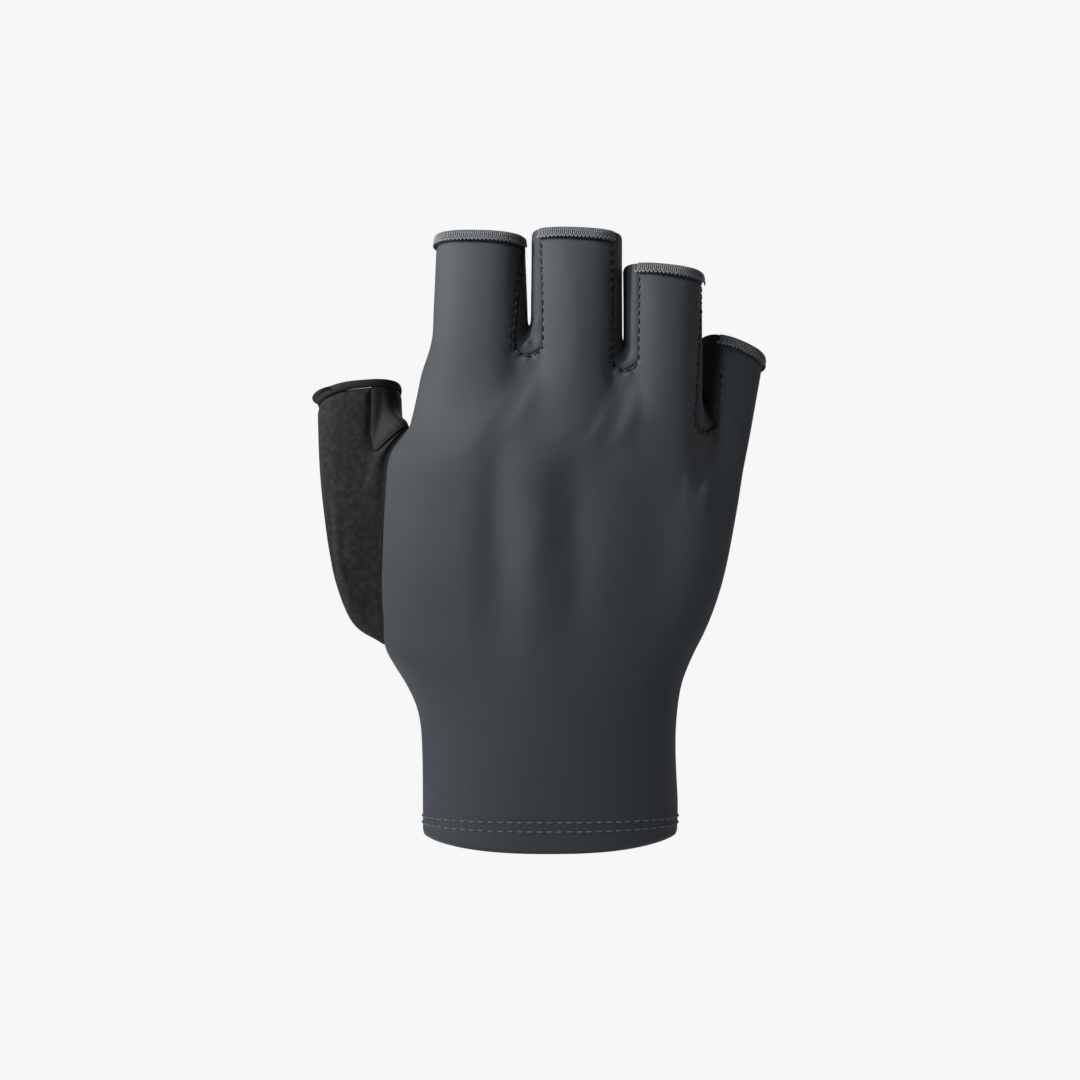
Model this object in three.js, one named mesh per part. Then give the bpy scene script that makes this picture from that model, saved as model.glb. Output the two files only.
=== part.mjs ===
// A short-finger cycling glove for the right hand, filled out as it is when worn.
// Millimetres. The origin is the centre of the cuff opening, +Z runs towards the fingertips,
// +X towards the little finger, and -Y out of the back of the hand.
import * as THREE from "three";

const { lerp, clamp, smoothstep, degToRad } = THREE.MathUtils;

// Body of the glove
const CUFF_WIDTH = 67;
const CUFF_DEPTH = 41;
const CUFF_DIP = 1.8; // how far the cuff's edge hangs lower at the back than at the palm, halved
const CUFF_ARCH = 2; // how far the edge rises at the sides
const PALM_WIDTH = 94;
const PALM_DEPTH = 32;
const PALM_LENGTH = 129; // cuff to the stitched foot of the slot beside the index finger
const KNUCKLE_OFFSET = 11; // middle of the row of fingers, from the cuff's centre line

// Fingers, each length taken from the slot on the finger's thumb side
const INDEX_WIDTH = 23.2;
const INDEX_LENGTH = 30;
const MIDDLE_WIDTH = 23.8;
const MIDDLE_LENGTH = 30.6;
const RING_WIDTH = 20.6;
const RING_LENGTH = 25;
const LITTLE_WIDTH = 16.8;
const LITTLE_LENGTH = 21;
const FINGER_DEPTH = 20;
const LITTLE_DEPTH = 16.5;
const INDEX_SHOULDER = 3; // the outer foot of the index finger above its slot
const MIDDLE_RING_DROP = 4; // each slot's foot below the foot of the slot beside the index finger
const RING_LITTLE_DROP = 20;
const LITTLE_SHOULDER = 5;
const SLOT_RISE = 7; // the web between two fingers above the stitched foot of its slot
const SLOT_SAG = 1.6; // rounding of a slot's foot
const PALM_LIFT = 3; // the slots' feet on the palm side above those on the back
const RIM_TILT = 1.4; // the back of a finger's rim above its sides
const FINGER_CURL = 3; // how far a finger bends towards the palm at its rim

// Thumb
const THUMB_WIDTH = 22.4;
const THUMB_DEPTH = 21;
const THUMB_FORWARD = 11; // the thumb's rim towards the palm
const THUMB_REACH = 118.8; // height of the thumb's rim
const THUMB_OPEN = 1.8; // room between the thumb and the side of the hand
const THUMB_CROTCH_HEIGHT = 107.8;
const THUMB_WEB_DIP = 12; // how much lower the crotch seam's end on the palm lies
const THUMB_SEAM_HEIGHT = 48.7;
const THUMB_SLANT = 1.5; // the rim's side next to the index finger above its middle
const THUMB_TILT = 2.8; // the back of the thumb's rim above its sides

// Cloth, seams and trim
const KNIT_WALL = 1.2;
const SUEDE_WALL = 1.5;
const BINDING_WALL = 1.7;
const BINDING_PROUD = 0.5;
const BINDING_HEIGHT = 2.6;
const THUMB_BINDING_HEIGHT = 0.9;
const HEM_HEIGHT = 9;
const HEM_WALL = 1;
const SEAM_CLEARANCE = 0.4;
const HEM_CLEARANCE = 0.3;

// Section shapes
const SEAM_ANGLE = degToRad(42); // from a finger's side round to its gusset seam
const SIDE_ANGLE = degToRad(25); // from the widest line round to the side seam, on the palm side
const SEAM_BEND = 1.5; // how late, going up, the gusset seams turn to their angles at the rim
const FINGER_SQUARENESS = 2.4;
const BODY_SQUARENESS = 2.4;
const RIM_FLARE = 0.006;
const KNUCKLE_BLEND = 30; // length over which the knuckles run out into the back of the hand
const SLOT_BLEND = 12; // the same below a slot on the back, and on the palm
const PALM_SLOT_BLEND = 26;
const SIDE_BLEND = 9; // the same down the outer sides of the index and little fingers

// Outline and depth of the body. Heights are shares of PALM_LENGTH. flare runs from the cuff's width (0)
// to the palm's (1) and thin from the cuff's depth to the palm's; shift is a share of PALM_WIDTH and back
// the share of the depth that lies on the back side.
const BODY_SECTIONS = [
  { height: 0, flare: 0, shift: 0, thin: 0, back: 0.5 },
  { height: 0.04, flare: 0.02, shift: 0.003, thin: 0, back: 0.5 },
  { height: 0.19, flare: 0, shift: -0.002, thin: 0.1, back: 0.5 },
  { height: 0.26, flare: 0.05, shift: -0.005, thin: 0.15, back: 0.49 },
  { height: 0.32, flare: 0.22, shift: -0.016, thin: 0.25, back: 0.48 },
  { height: 0.378, flare: 0.51, shift: -0.026, thin: 0.42, back: 0.47 },
  { height: 0.434, flare: 0.68, shift: -0.012, thin: 0.5, back: 0.46 },
  { height: 0.5, flare: 0.82, shift: 0.002, thin: 0.62, back: 0.47 },
  { height: 0.566, flare: 0.91, shift: 0.013, thin: 0.75, back: 0.48 },
  { height: 0.7, flare: 1, shift: 0.034, thin: 1, back: 0.49 },
  { height: 0.763, flare: 1.02, shift: 0.043, thin: 1, back: 0.5 },
  { height: 0.806, flare: 0.99, shift: 0.056, thin: 1.05, back: 0.5 },
  { height: 0.837, flare: 0.88, shift: 0.08, thin: 1.08, back: 0.51 },
  { height: 0.93, flare: 0.84, shift: 0.11, thin: 1.15, back: 0.51 },
  { height: 1.03, flare: 0.82, shift: 0.131, thin: 1.2, back: 0.52 },
];

// forward, a share of PALM_DEPTH, and roll place a finger across the arch of the knuckles. left and right
// are the angles of its gusset seams at the rim, where they have turned away from SEAM_ANGLE. The rest are
// shares of its width: gap is the room to the next finger, taper its foot's width, lean carries its rim
// sideways and slant drops the rim's outer side.
const FINGERS = [
  { name: "index", width: INDEX_WIDTH, depth: FINGER_DEPTH, length: INDEX_LENGTH, gap: 0.013,
    forward: -0.1, roll: -6, left: 0, right: 8, taper: 1.103, lean: 0, slant: 0.012 },
  { name: "middle", width: MIDDLE_WIDTH, depth: FINGER_DEPTH, length: MIDDLE_LENGTH, gap: 0.015,
    forward: -0.14, roll: 0, left: 36, right: 42, taper: 1.02, lean: 0.008, slant: 0.02 },
  { name: "ring", width: RING_WIDTH, depth: FINGER_DEPTH, length: RING_LENGTH, gap: -0.015,
    forward: -0.12, roll: 6, left: 46, right: 8, taper: 1, lean: 0, slant: 0.05 },
  { name: "little", width: LITTLE_WIDTH, depth: LITTLE_DEPTH, length: LITTLE_LENGTH, gap: 0,
    forward: 0.1, roll: 22, left: 42, right: 0, taper: 0.78, lean: 0.143, slant: 0.2 },
];

// Dents (deep > 0) and swellings (deep < 0). across and wide are shares of PALM_WIDTH, height and long
// of PALM_LENGTH, deep of PALM_DEPTH; side is 1 on the back of the hand and -1 on the palm.
const DENTS = [
  { side: 1, across: -0.14, height: 0.62, wide: 0.06, long: 0.2, deep: 0.06 },
  { side: 1, across: 0.06, height: 0.62, wide: 0.06, long: 0.2, deep: 0.06 },
  { side: 1, across: 0.3, height: 0.6, wide: 0.1, long: 0.17, deep: 0.06 },
  { side: 1, across: -0.2, height: 0.83, wide: 0.07, long: 0.07, deep: -0.04 },
  { side: 1, across: 0.06, height: 0.85, wide: 0.07, long: 0.07, deep: -0.05 },
  { side: -1, across: 0.05, height: 0.62, wide: 0.15, long: 0.2, deep: 0.12 },
  { side: -1, across: 0.33, height: 0.5, wide: 0.14, long: 0.18, deep: -0.07 },
  { side: -1, across: 0.1, height: 0.9, wide: 0.4, long: 0.07, deep: -0.06 },
];

// Where each piece is divided, in cells
const OUTER_CELLS = 8;
const BACK_CELLS = 6;
const FRONT_CELLS = 5;
const SLOT_CELLS = 2;
const GUSSET_CELLS = 4;
const FINGER_ROWS = 5;
const CUFF_ROWS = 6;
const THUMB_SEAM_ROWS = 10;
const KNUCKLE_ROWS = 5;
const THUMB_ROWS = 9;
const THUMB_FOOT_ROWS = 3; // of these, the rows below the smooth patch
const THUMB_BACK_COLUMN = 2; // the thumb's seam on the back of the hand, in cells from the side seam
const THUMB_FRONT_COLUMNS = 5; // and on the palm
const THUMB_WEB_COLUMNS = 7; // reach of the dip in the crotch seam, in cells

// The thumb's surface
const THUMB_CORNER = degToRad(50); // the crotch seam's ends, round the rim from the index finger's side
const THUMB_RISE = 0.95; // shares of the three directions in which the thumb leaves its seam
const THUMB_PUFF = 0.6;
const THUMB_SPREAD = 0.2;
const THUMB_AWAY = 0.75; // how squarely it leaves its seam
const THUMB_SWELL = 1; // how far it keeps that direction, and how far it stays upright below its rim
const THUMB_UPRIGHT = 2.5;
const PATCH_START = degToRad(-14); // the smooth patch, round the rim
const PATCH_END = degToRad(74);
const PATCH_FOOT = -3.5; // its lower edge at its middle, above the crotch
const PATCH_SHOULDER = 7; // and at its sides
const PATCH_MARGIN = 0.07; // the least share of the way from the seam to the rim that lies below the patch
const PATCH_LEVEL = 0.5; // the share at which its row of corners runs on round the rest of the thumb
const PATCH_BLEND = 2.4; // where it has come to that share, in half widths of the patch

// A smooth curve through one column of a table whose rows stand at rising heights.
function tableValue(rows, column, at) {
  const last = rows.length - 1;
  let i = 0;
  while (i < last - 1 && at > rows[i + 1].height) i += 1;
  const slope = (j) => {
    const before = rows[Math.max(j - 1, 0)];
    const after = rows[Math.min(j + 1, last)];
    return (after[column] - before[column]) / (after.height - before.height);
  };
  const start = rows[i];
  const end = rows[i + 1];
  const step = end.height - start.height;
  const t = clamp((at - start.height) / step, 0, 1);
  return hermite(start[column], end[column], slope(i) * step, slope(i + 1) * step, t);
}

function hermite(start, end, leave, arrive, t) {
  const rest = 1 - t;
  return (
    start * rest * rest * (1 + 2 * t) +
    end * t * t * (3 - 2 * t) +
    leave * t * rest * rest -
    arrive * t * t * rest
  );
}

// Cosine and sine of a rounded-square section
const squareCos = (angle, squareness) =>
  Math.sign(Math.cos(angle)) * Math.abs(Math.cos(angle)) ** (2 / squareness);
const squareSin = (angle, squareness) =>
  Math.sign(Math.sin(angle)) * Math.abs(Math.sin(angle)) ** (2 / squareness);

// Heights of the finger slots' feet, from the index finger's outer side to the little finger's
const SLOTS = [
  PALM_LENGTH + INDEX_SHOULDER,
  PALM_LENGTH,
  PALM_LENGTH - MIDDLE_RING_DROP,
  PALM_LENGTH - RING_LITTLE_DROP,
  PALM_LENGTH - RING_LITTLE_DROP - LITTLE_SHOULDER,
];

// The fingers stand side by side across the top of the palm.
const footWidth = (finger) => finger.width * finger.taper;
const fingerPitch = (finger) => footWidth(finger) + finger.gap * finger.width;
const fingerRowWidth = FINGERS.reduce((sum, finger) => sum + fingerPitch(finger), 0);
let fingerEdge = KNUCKLE_OFFSET - fingerRowWidth / 2;
for (const [f, finger] of FINGERS.entries()) {
  finger.centre = fingerEdge + footWidth(finger) / 2;
  finger.foot = SLOTS[Math.max(f, 1)];
  finger.rim = finger.foot + finger.length;
  fingerEdge += fingerPitch(finger);
}

// How far towards the palm a point of a section lies: 0 at the back, 1 at the palm
const frontShare = (angle) => (1 - squareSin(angle, FINGER_SQUARENESS)) / 2;

// The height at which a finger's tube leaves the hand
function fingerFoot(f, angle) {
  const seam = squareCos(SEAM_ANGLE, FINGER_SQUARENESS);
  const left = f === 0 ? 1 : seam;
  const right = f === FINGERS.length - 1 ? 1 : seam;
  const across = (squareCos(angle, FINGER_SQUARENESS) + left) / (left + right);
  const slot = lerp(SLOTS[f], SLOTS[f + 1], clamp(across, 0, 1));
  const front = frontShare(angle);
  const inSlot = (f > 0 && across < 0) || (f < FINGERS.length - 1 && across > 1);
  const bottom = frontShare(SEAM_ANGLE);
  const web = inSlot ? Math.sin((Math.PI * (front - bottom)) / (1 - 2 * bottom)) : 0;
  return slot + PALM_LIFT * front + SLOT_RISE * web;
}

function fingerRim(f, angle) {
  const finger = FINGERS[f];
  const sideways = finger.slant * finger.width * squareCos(angle, FINGER_SQUARENESS);
  return finger.rim + RIM_TILT * squareSin(angle, FINGER_SQUARENESS) - sideways;
}

// A point of a finger's tube, angle running from the little finger's side (0) over the back (90 degrees)
function fingerPoint(f, angle, height) {
  const finger = FINGERS[f];
  const along = (height - finger.foot) / finger.length;
  const flare = 1 + RIM_FLARE * (2 * clamp(along, 0, 1) - 1) ** 2;
  const width = lerp(footWidth(finger), finger.width, along);
  const sideways = (width / 2) * flare * squareCos(angle, FINGER_SQUARENESS);
  const forward = (-finger.depth / 2) * flare * squareSin(angle, FINGER_SQUARENESS);
  const roll = degToRad(finger.roll);
  const lean = finger.lean * finger.width * along;
  const curl = FINGER_CURL * Math.max(along, 0) ** 2;
  return new THREE.Vector3(
    finger.centre + lean + sideways * Math.cos(roll) - forward * Math.sin(roll),
    finger.forward * PALM_DEPTH + curl + forward * Math.cos(roll) + sideways * Math.sin(roll),
    height,
  );
}

// The columns of the body, round the back from the thumb's side and home across the palm. Each belongs to
// a finger at an angle, or bridges the slot beyond that finger.
function bodyColumns() {
  const columns = [];
  const last = FINGERS.length - 1;
  const addHalf = (order, start, end, side) => {
    const slotBlend = side > 0 ? SLOT_BLEND : PALM_SLOT_BLEND;
    const innerCells = side > 0 ? BACK_CELLS : FRONT_CELLS;
    const cells = (f) => (f === 0 || f === last ? OUTER_CELLS : innerCells);
    const total = order.reduce((sum, f) => sum + cells(f), SLOT_CELLS * last);
    const begin = columns.length;
    const even = () => lerp(start, end, (columns.length - begin) / total);
    order.forEach((f, place) => {
      const enter = side > 0 ? Math.PI - SEAM_ANGLE : -SEAM_ANGLE;
      const leave = side > 0 ? SEAM_ANGLE : SEAM_ANGLE - Math.PI;
      const first = place === 0 ? start : enter;
      const final = place === last ? end : leave;
      for (let i = 0; i < cells(f); i += 1) {
        const angle = lerp(first, final, i / cells(f));
        const outer = (f === 0 && Math.cos(angle) < 0) || (f === last && Math.cos(angle) > 0);
        const blend = lerp(outer ? SIDE_BLEND : slotBlend, KNUCKLE_BLEND, Math.sin(angle) ** 2);
        columns.push({ finger: f, angle, side, blend, even: even() });
      }
      if (place === last) return;
      for (let i = 0; i < SLOT_CELLS; i += 1) {
        const across = side > 0 ? i / SLOT_CELLS : 1 - i / SLOT_CELLS;
        const blend = lerp(slotBlend, KNUCKLE_BLEND, Math.sin(SEAM_ANGLE) ** 2);
        columns.push({ slot: side > 0 ? f : f - 1, across, side, blend, even: even() });
      }
    });
  };
  addHalf([0, 1, 2, 3], Math.PI + SIDE_ANGLE, -SIDE_ANGLE, 1);
  addHalf([3, 2, 1, 0], -SIDE_ANGLE, SIDE_ANGLE - Math.PI, -1);
  return columns;
}

// A point of the web in a slot, across from one finger to the next and round from the back to the palm
function slotPoint(slot, across, angle, drop) {
  const heightAt = (f, at) => fingerFoot(f, at) - drop;
  const left = fingerPoint(slot, angle, heightAt(slot, angle));
  const right = fingerPoint(slot + 1, Math.PI - angle, heightAt(slot + 1, Math.PI - angle));
  const point = left.lerp(right, across);
  point.z -= SLOT_SAG * Math.sin(Math.PI * across);
  return point;
}

// The foot of the fingers above a column of the body, and the same surface carried down by drop
function footPoint(column, drop) {
  const { finger, angle, slot, across, side } = column;
  if (slot !== undefined) return slotPoint(slot, across, side * SEAM_ANGLE, drop);
  return fingerPoint(finger, angle, fingerFoot(finger, angle) - drop);
}

// The rounded section of the hand at a height, with its dents
function handPoint(angle, height) {
  const share = height / PALM_LENGTH;
  const value = (column) => tableValue(BODY_SECTIONS, column, share);
  const halfWidth = lerp(CUFF_WIDTH, PALM_WIDTH, value("flare")) / 2;
  const depth = lerp(CUFF_DEPTH, PALM_DEPTH, value("thin"));
  const back = value("back");
  const onBack = Math.sin(angle) > 0;
  const x = value("shift") * PALM_WIDTH + halfWidth * squareCos(angle, BODY_SQUARENESS);
  const round = squareSin(angle, BODY_SQUARENESS);
  let y = -depth * (onBack ? back : 1 - back) * round;
  for (const dent of DENTS) {
    if (dent.side * round <= 0) continue;
    const away = (x / PALM_WIDTH - dent.across) / dent.wide;
    const along = (share - dent.height) / dent.long;
    const fade = Math.exp(-away * away - along * along) * Math.abs(round);
    y += dent.side * dent.deep * PALM_DEPTH * fade;
  }
  return new THREE.Vector3(x, y, height);
}

// The angle round the body's section that runs into a column, where the outer sides of the row of
// fingers come down on the body's own sides.
function sectionAngle(column, top) {
  const centre = tableValue(BODY_SECTIONS, "shift", top.z / PALM_LENGTH) * PALM_WIDTH;
  const last = FINGERS.length - 1;
  const side = top.x < centre
    ? fingerPoint(0, Math.PI, fingerFoot(0, Math.PI))
    : fingerPoint(last, 0, fingerFoot(last, 0));
  const across = clamp((top.x - centre) / Math.abs(side.x - centre), -1, 1);
  const bent = Math.acos(Math.sign(across) * Math.abs(across) ** (BODY_SQUARENESS / 2));
  const onBack = column.slot === undefined ? Math.sin(column.angle) >= 0 : column.side > 0;
  if (onBack) return bent;
  return column.side > 0 && column.angle > Math.PI ? 2 * Math.PI - bent : -bent;
}

// A point of the body: level 0 is the cuff's edge and 1 the foot of the fingers
function bodyPoint(column, level) {
  const top = footPoint(column, 0);
  const edge = CUFF_ARCH * Math.cos(column.even) ** 2 - CUFF_DIP * Math.sin(column.even);
  const height = lerp(edge, top.z, level);
  const drop = top.z - height;
  const wrist = smoothstep(drop / PALM_LENGTH, 0, 1);
  const hand = handPoint(lerp(sectionAngle(column, top), column.even, wrist), height);
  return footPoint(column, drop).lerp(hand, smoothstep(drop, 0, column.blend)).setZ(height);
}

const COLUMNS = bodyColumns();
const cuffLevel = THUMB_SEAM_HEIGHT / SLOTS[0];
const crotchLevel = THUMB_CROTCH_HEIGHT / SLOTS[0];
const CROTCH_ROW = CUFF_ROWS + THUMB_SEAM_ROWS;
const BODY_ROWS = CROTCH_ROW + KNUCKLE_ROWS;

// The share of the way up a column at which a row of cells lies. The crotch row dips round the corner
// of the thumb's seam on the palm, at column -THUMB_FRONT_COLUMNS.
function bodyLevel(column, row) {
  const half = COLUMNS.length / 2;
  const offset = ((column + THUMB_FRONT_COLUMNS + half + COLUMNS.length) % COLUMNS.length) - half;
  const away = clamp(Math.abs(offset) / THUMB_WEB_COLUMNS, 0, 1);
  const crotch = crotchLevel - (THUMB_WEB_DIP / SLOTS[0]) * (1 - smoothstep(away, 0, 1));
  if (row <= CUFF_ROWS) return (cuffLevel * row) / CUFF_ROWS;
  if (row <= CROTCH_ROW) return lerp(cuffLevel, crotch, (row - CUFF_ROWS) / THUMB_SEAM_ROWS);
  return lerp(crotch, 1, (row - CROTCH_ROW) / KNUCKLE_ROWS);
}

const wrapColumn = (column) => COLUMNS[(column + COLUMNS.length) % COLUMNS.length];
const bodyVertex = (column, row) => bodyPoint(wrapColumn(column), bodyLevel(column, row));

// The seam that the thumb is sewn along: across under the crotch, down the palm, back and up the back
function thumbSeam() {
  const back = THUMB_BACK_COLUMN;
  const front = -THUMB_FRONT_COLUMNS;
  const places = [];
  for (let c = back; c > front; c -= 1) places.push([c, CROTCH_ROW]);
  for (let r = CROTCH_ROW; r > CUFF_ROWS; r -= 1) places.push([front, r]);
  for (let c = front; c < back; c += 1) places.push([c, CUFF_ROWS]);
  for (let r = CUFF_ROWS; r < CROTCH_ROW; r += 1) places.push([back, r]);
  const points = places.map(([c, r]) => bodyVertex(c, r));
  return places.map(([c, r], i) => {
    const along = bodyVertex(c + 1, r).sub(bodyVertex(c - 1, r));
    const up = bodyVertex(c, r + 1).sub(bodyVertex(c, r - 1));
    const next = points[(i + 1) % points.length].clone();
    const run = next.sub(points[(i + points.length - 1) % points.length]).normalize();
    return { point: points[i], normal: along.cross(up).normalize(), run };
  });
}

// Where a point of the seam comes out round the thumb's rim: the crotch seam's ends stand at
// THUMB_CORNER, and the other sides share the rest.
function thumbTurn(place) {
  const across = THUMB_BACK_COLUMN + THUMB_FRONT_COLUMNS;
  const stops = [0, across, across + THUMB_SEAM_ROWS, 2 * across + THUMB_SEAM_ROWS];
  stops.push(2 * (across + THUMB_SEAM_ROWS));
  const angles = [THUMB_CORNER, -THUMB_CORNER, THUMB_CORNER - Math.PI, -THUMB_CORNER - Math.PI];
  angles.push(THUMB_CORNER - 2 * Math.PI);
  let i = 0;
  while (place > stops[i + 1]) i += 1;
  return lerp(angles[i], angles[i + 1], (place - stops[i]) / (stops[i + 1] - stops[i]));
}

function thumbRim(turn) {
  const side = handPoint(Math.PI, THUMB_CROTCH_HEIGHT).x;
  return new THREE.Vector3(
    side - THUMB_OPEN - (THUMB_WIDTH / 2) * (1 - squareCos(turn, FINGER_SQUARENESS)),
    THUMB_FORWARD - (THUMB_DEPTH / 2) * squareSin(turn, FINGER_SQUARENESS),
    THUMB_REACH + THUMB_SLANT * Math.cos(turn) + THUMB_TILT * Math.sin(turn),
  );
}

// A point of the thumb, t running from its seam (0) to its rim (1)
function thumbPoint(seam, turn, t) {
  const rim = thumbRim(turn);
  const span = rim.distanceTo(seam.point);
  const leave = new THREE.Vector3(-THUMB_SPREAD, 0, THUMB_RISE);
  leave.addScaledVector(seam.normal, THUMB_PUFF).normalize();
  leave.addScaledVector(seam.run, -THUMB_AWAY * leave.dot(seam.run)).multiplyScalar(span * THUMB_SWELL);
  const arrive = new THREE.Vector3(0, 0, span * THUMB_UPRIGHT);
  const along = (axis) => hermite(seam.point[axis], rim[axis], leave[axis], arrive[axis], t);
  return new THREE.Vector3(along("x"), along("y"), along("z"));
}

// The outer skin: cells of four corners, each marked with its piece. Cells that meet share corners.
const skin = { points: [], keys: new Map(), cells: [] };

function corner(point) {
  const key = [point.x, point.y, point.z].map((value) => Math.round(value * 1000)).join(" ");
  if (!skin.keys.has(key)) {
    skin.keys.set(key, skin.points.length);
    skin.points.push(point);
  }
  return skin.keys.get(key);
}

// A field of cells. u turns to v round the outward direction.
function addCells(uCells, vCells, place, piece) {
  const field = [];
  for (let u = 0; u <= uCells; u += 1) {
    field.push([]);
    for (let v = 0; v <= vCells; v += 1) field[u].push(corner(place(u, v)));
  }
  for (let u = 0; u < uCells; u += 1) {
    for (let v = 0; v < vCells; v += 1) {
      const name = piece(u, v);
      if (!name) continue;
      const corners = [field[u][v], field[u + 1][v], field[u + 1][v + 1], field[u][v + 1]];
      skin.cells.push({ name, corners });
    }
  }
}

function addBody() {
  const total = COLUMNS.length;
  const piece = (u, v) => {
    const inThumb = u < THUMB_BACK_COLUMN || u >= total - THUMB_FRONT_COLUMNS;
    if (inThumb && v >= CUFF_ROWS && v < CROTCH_ROW) return "";
    if (COLUMNS[u].side > 0) return "back_panel";
    return v < CUFF_ROWS ? "wrist_panel" : "palm_panel";
  };
  addCells(total, BODY_ROWS, bodyVertex, piece);
}

// The strip of a finger between two angles, from its foot to its rim. Each end is a pair of angles, at
// the foot and at the rim.
function addFingerSide(f, start, end, cells, piece) {
  const place = (u, v) => {
    const up = Math.min(v / FINGER_ROWS, 1) ** SEAM_BEND;
    const angle = lerp(lerp(...start, up), lerp(...end, up), u / cells);
    const foot = fingerFoot(f, angle);
    const rim = fingerRim(f, angle);
    const height = v > FINGER_ROWS ? rim : lerp(foot, rim - BINDING_HEIGHT, v / FINGER_ROWS);
    return fingerPoint(f, angle, height);
  };
  addCells(cells, FINGER_ROWS + 1, place, (u, v) => piece(v === FINGER_ROWS));
}

function addFinger(f) {
  const { name, left, right } = FINGERS[f];
  const first = f === 0;
  const last = f === FINGERS.length - 1;
  const outer = first || last;
  const still = (angle) => [angle, angle];
  const backLeft = first ? still(Math.PI + SIDE_ANGLE) : [Math.PI - SEAM_ANGLE, Math.PI - degToRad(left)];
  const backRight = last ? still(-SIDE_ANGLE) : [SEAM_ANGLE, degToRad(right)];
  const backCells = outer ? OUTER_CELLS : BACK_CELLS;
  const back = (rim) => (rim ? name + "_edge_binding" : "back_panel");
  addFingerSide(f, backLeft, backRight, backCells, back);
  const palmRight = still(last ? -SIDE_ANGLE : -SEAM_ANGLE);
  const palmLeft = still(first ? SIDE_ANGLE - Math.PI : SEAM_ANGLE - Math.PI);
  const palmCells = outer ? OUTER_CELLS : FRONT_CELLS;
  addFingerSide(f, palmRight, palmLeft, palmCells, () => "palm_panel");
  if (!last) addFingerSide(f, backRight, palmRight, GUSSET_CELLS, () => gussetName(f));
  if (first) return;
  addFingerSide(f, still(Math.PI + SEAM_ANGLE), backLeft, GUSSET_CELLS, () => gussetName(f - 1));
}

const gussetName = (slot) => FINGERS[slot].name + "_" + FINGERS[slot + 1].name + "_gusset";

function addSlotFoot(slot) {
  const place = (u, v) => {
    const angle = lerp(SEAM_ANGLE, -SEAM_ANGLE, v / GUSSET_CELLS);
    return slotPoint(slot, u / SLOT_CELLS, angle, 0);
  };
  addCells(SLOT_CELLS, GUSSET_CELLS, place, () => gussetName(slot));
}

function addThumb() {
  const seam = thumbSeam();
  const middle = (PATCH_START + PATCH_END) / 2;
  const fromPatch = (turn) => {
    const nearest = turn < -Math.PI ? turn + 2 * Math.PI : turn;
    return Math.abs(nearest - middle) / (PATCH_END - middle);
  };
  const place = (u, v) => {
    const turn = thumbTurn(u);
    const root = seam[u % seam.length];
    const rim = thumbRim(turn);
    const lower = lerp(PATCH_FOOT, PATCH_SHOULDER, Math.min(fromPatch(turn), 1) ** 3);
    const share = (THUMB_CROTCH_HEIGHT + lower - root.point.z) / (rim.z - root.point.z);
    const past = smoothstep(fromPatch(turn), 1, PATCH_BLEND);
    const foot = lerp(Math.max(share, PATCH_MARGIN), PATCH_LEVEL, past);
    const last = 1 - THUMB_BINDING_HEIGHT / rim.distanceTo(root.point);
    if (v > THUMB_ROWS) return thumbPoint(root, turn, 1);
    if (v < THUMB_FOOT_ROWS) return thumbPoint(root, turn, (foot * v) / THUMB_FOOT_ROWS);
    const above = (v - THUMB_FOOT_ROWS) / (THUMB_ROWS - THUMB_FOOT_ROWS);
    return thumbPoint(root, turn, lerp(foot, last, above));
  };
  const piece = (u, v) => {
    if (v === THUMB_ROWS) return "thumb_edge_binding";
    const turn = (thumbTurn(u) + thumbTurn(u + 1)) / 2;
    return fromPatch(turn) < 1 && v >= THUMB_FOOT_ROWS ? "thumb_gusset" : "thumb_panel";
  };
  addCells(seam.length, THUMB_ROWS + 1, place, piece);
}

// The turned-up ply of the hem follows the cuff's own edge, under the panels.
function addHem() {
  const place = (u, v) => {
    const column = wrapColumn(u);
    return bodyPoint(column, (v * HEM_HEIGHT) / (footPoint(column, 0).z + CUFF_DIP));
  };
  addCells(COLUMNS.length, 1, place, () => "cuff_hem");
}

addBody();
FINGERS.forEach((finger, f) => addFinger(f));
FINGERS.slice(1).forEach((finger, slot) => addSlotFoot(slot));
addThumb();
addHem();

// The outward direction at each corner, averaged over the cells round it
const normals = skin.points.map(() => new THREE.Vector3());
for (const { corners } of skin.cells) {
  const [a, b, c, d] = corners.map((i) => skin.points[i]);
  const across = c.clone().sub(a).cross(d.clone().sub(b));
  corners.forEach((i) => normals[i].add(across));
}
normals.forEach((normal) => normal.normalize());

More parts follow.
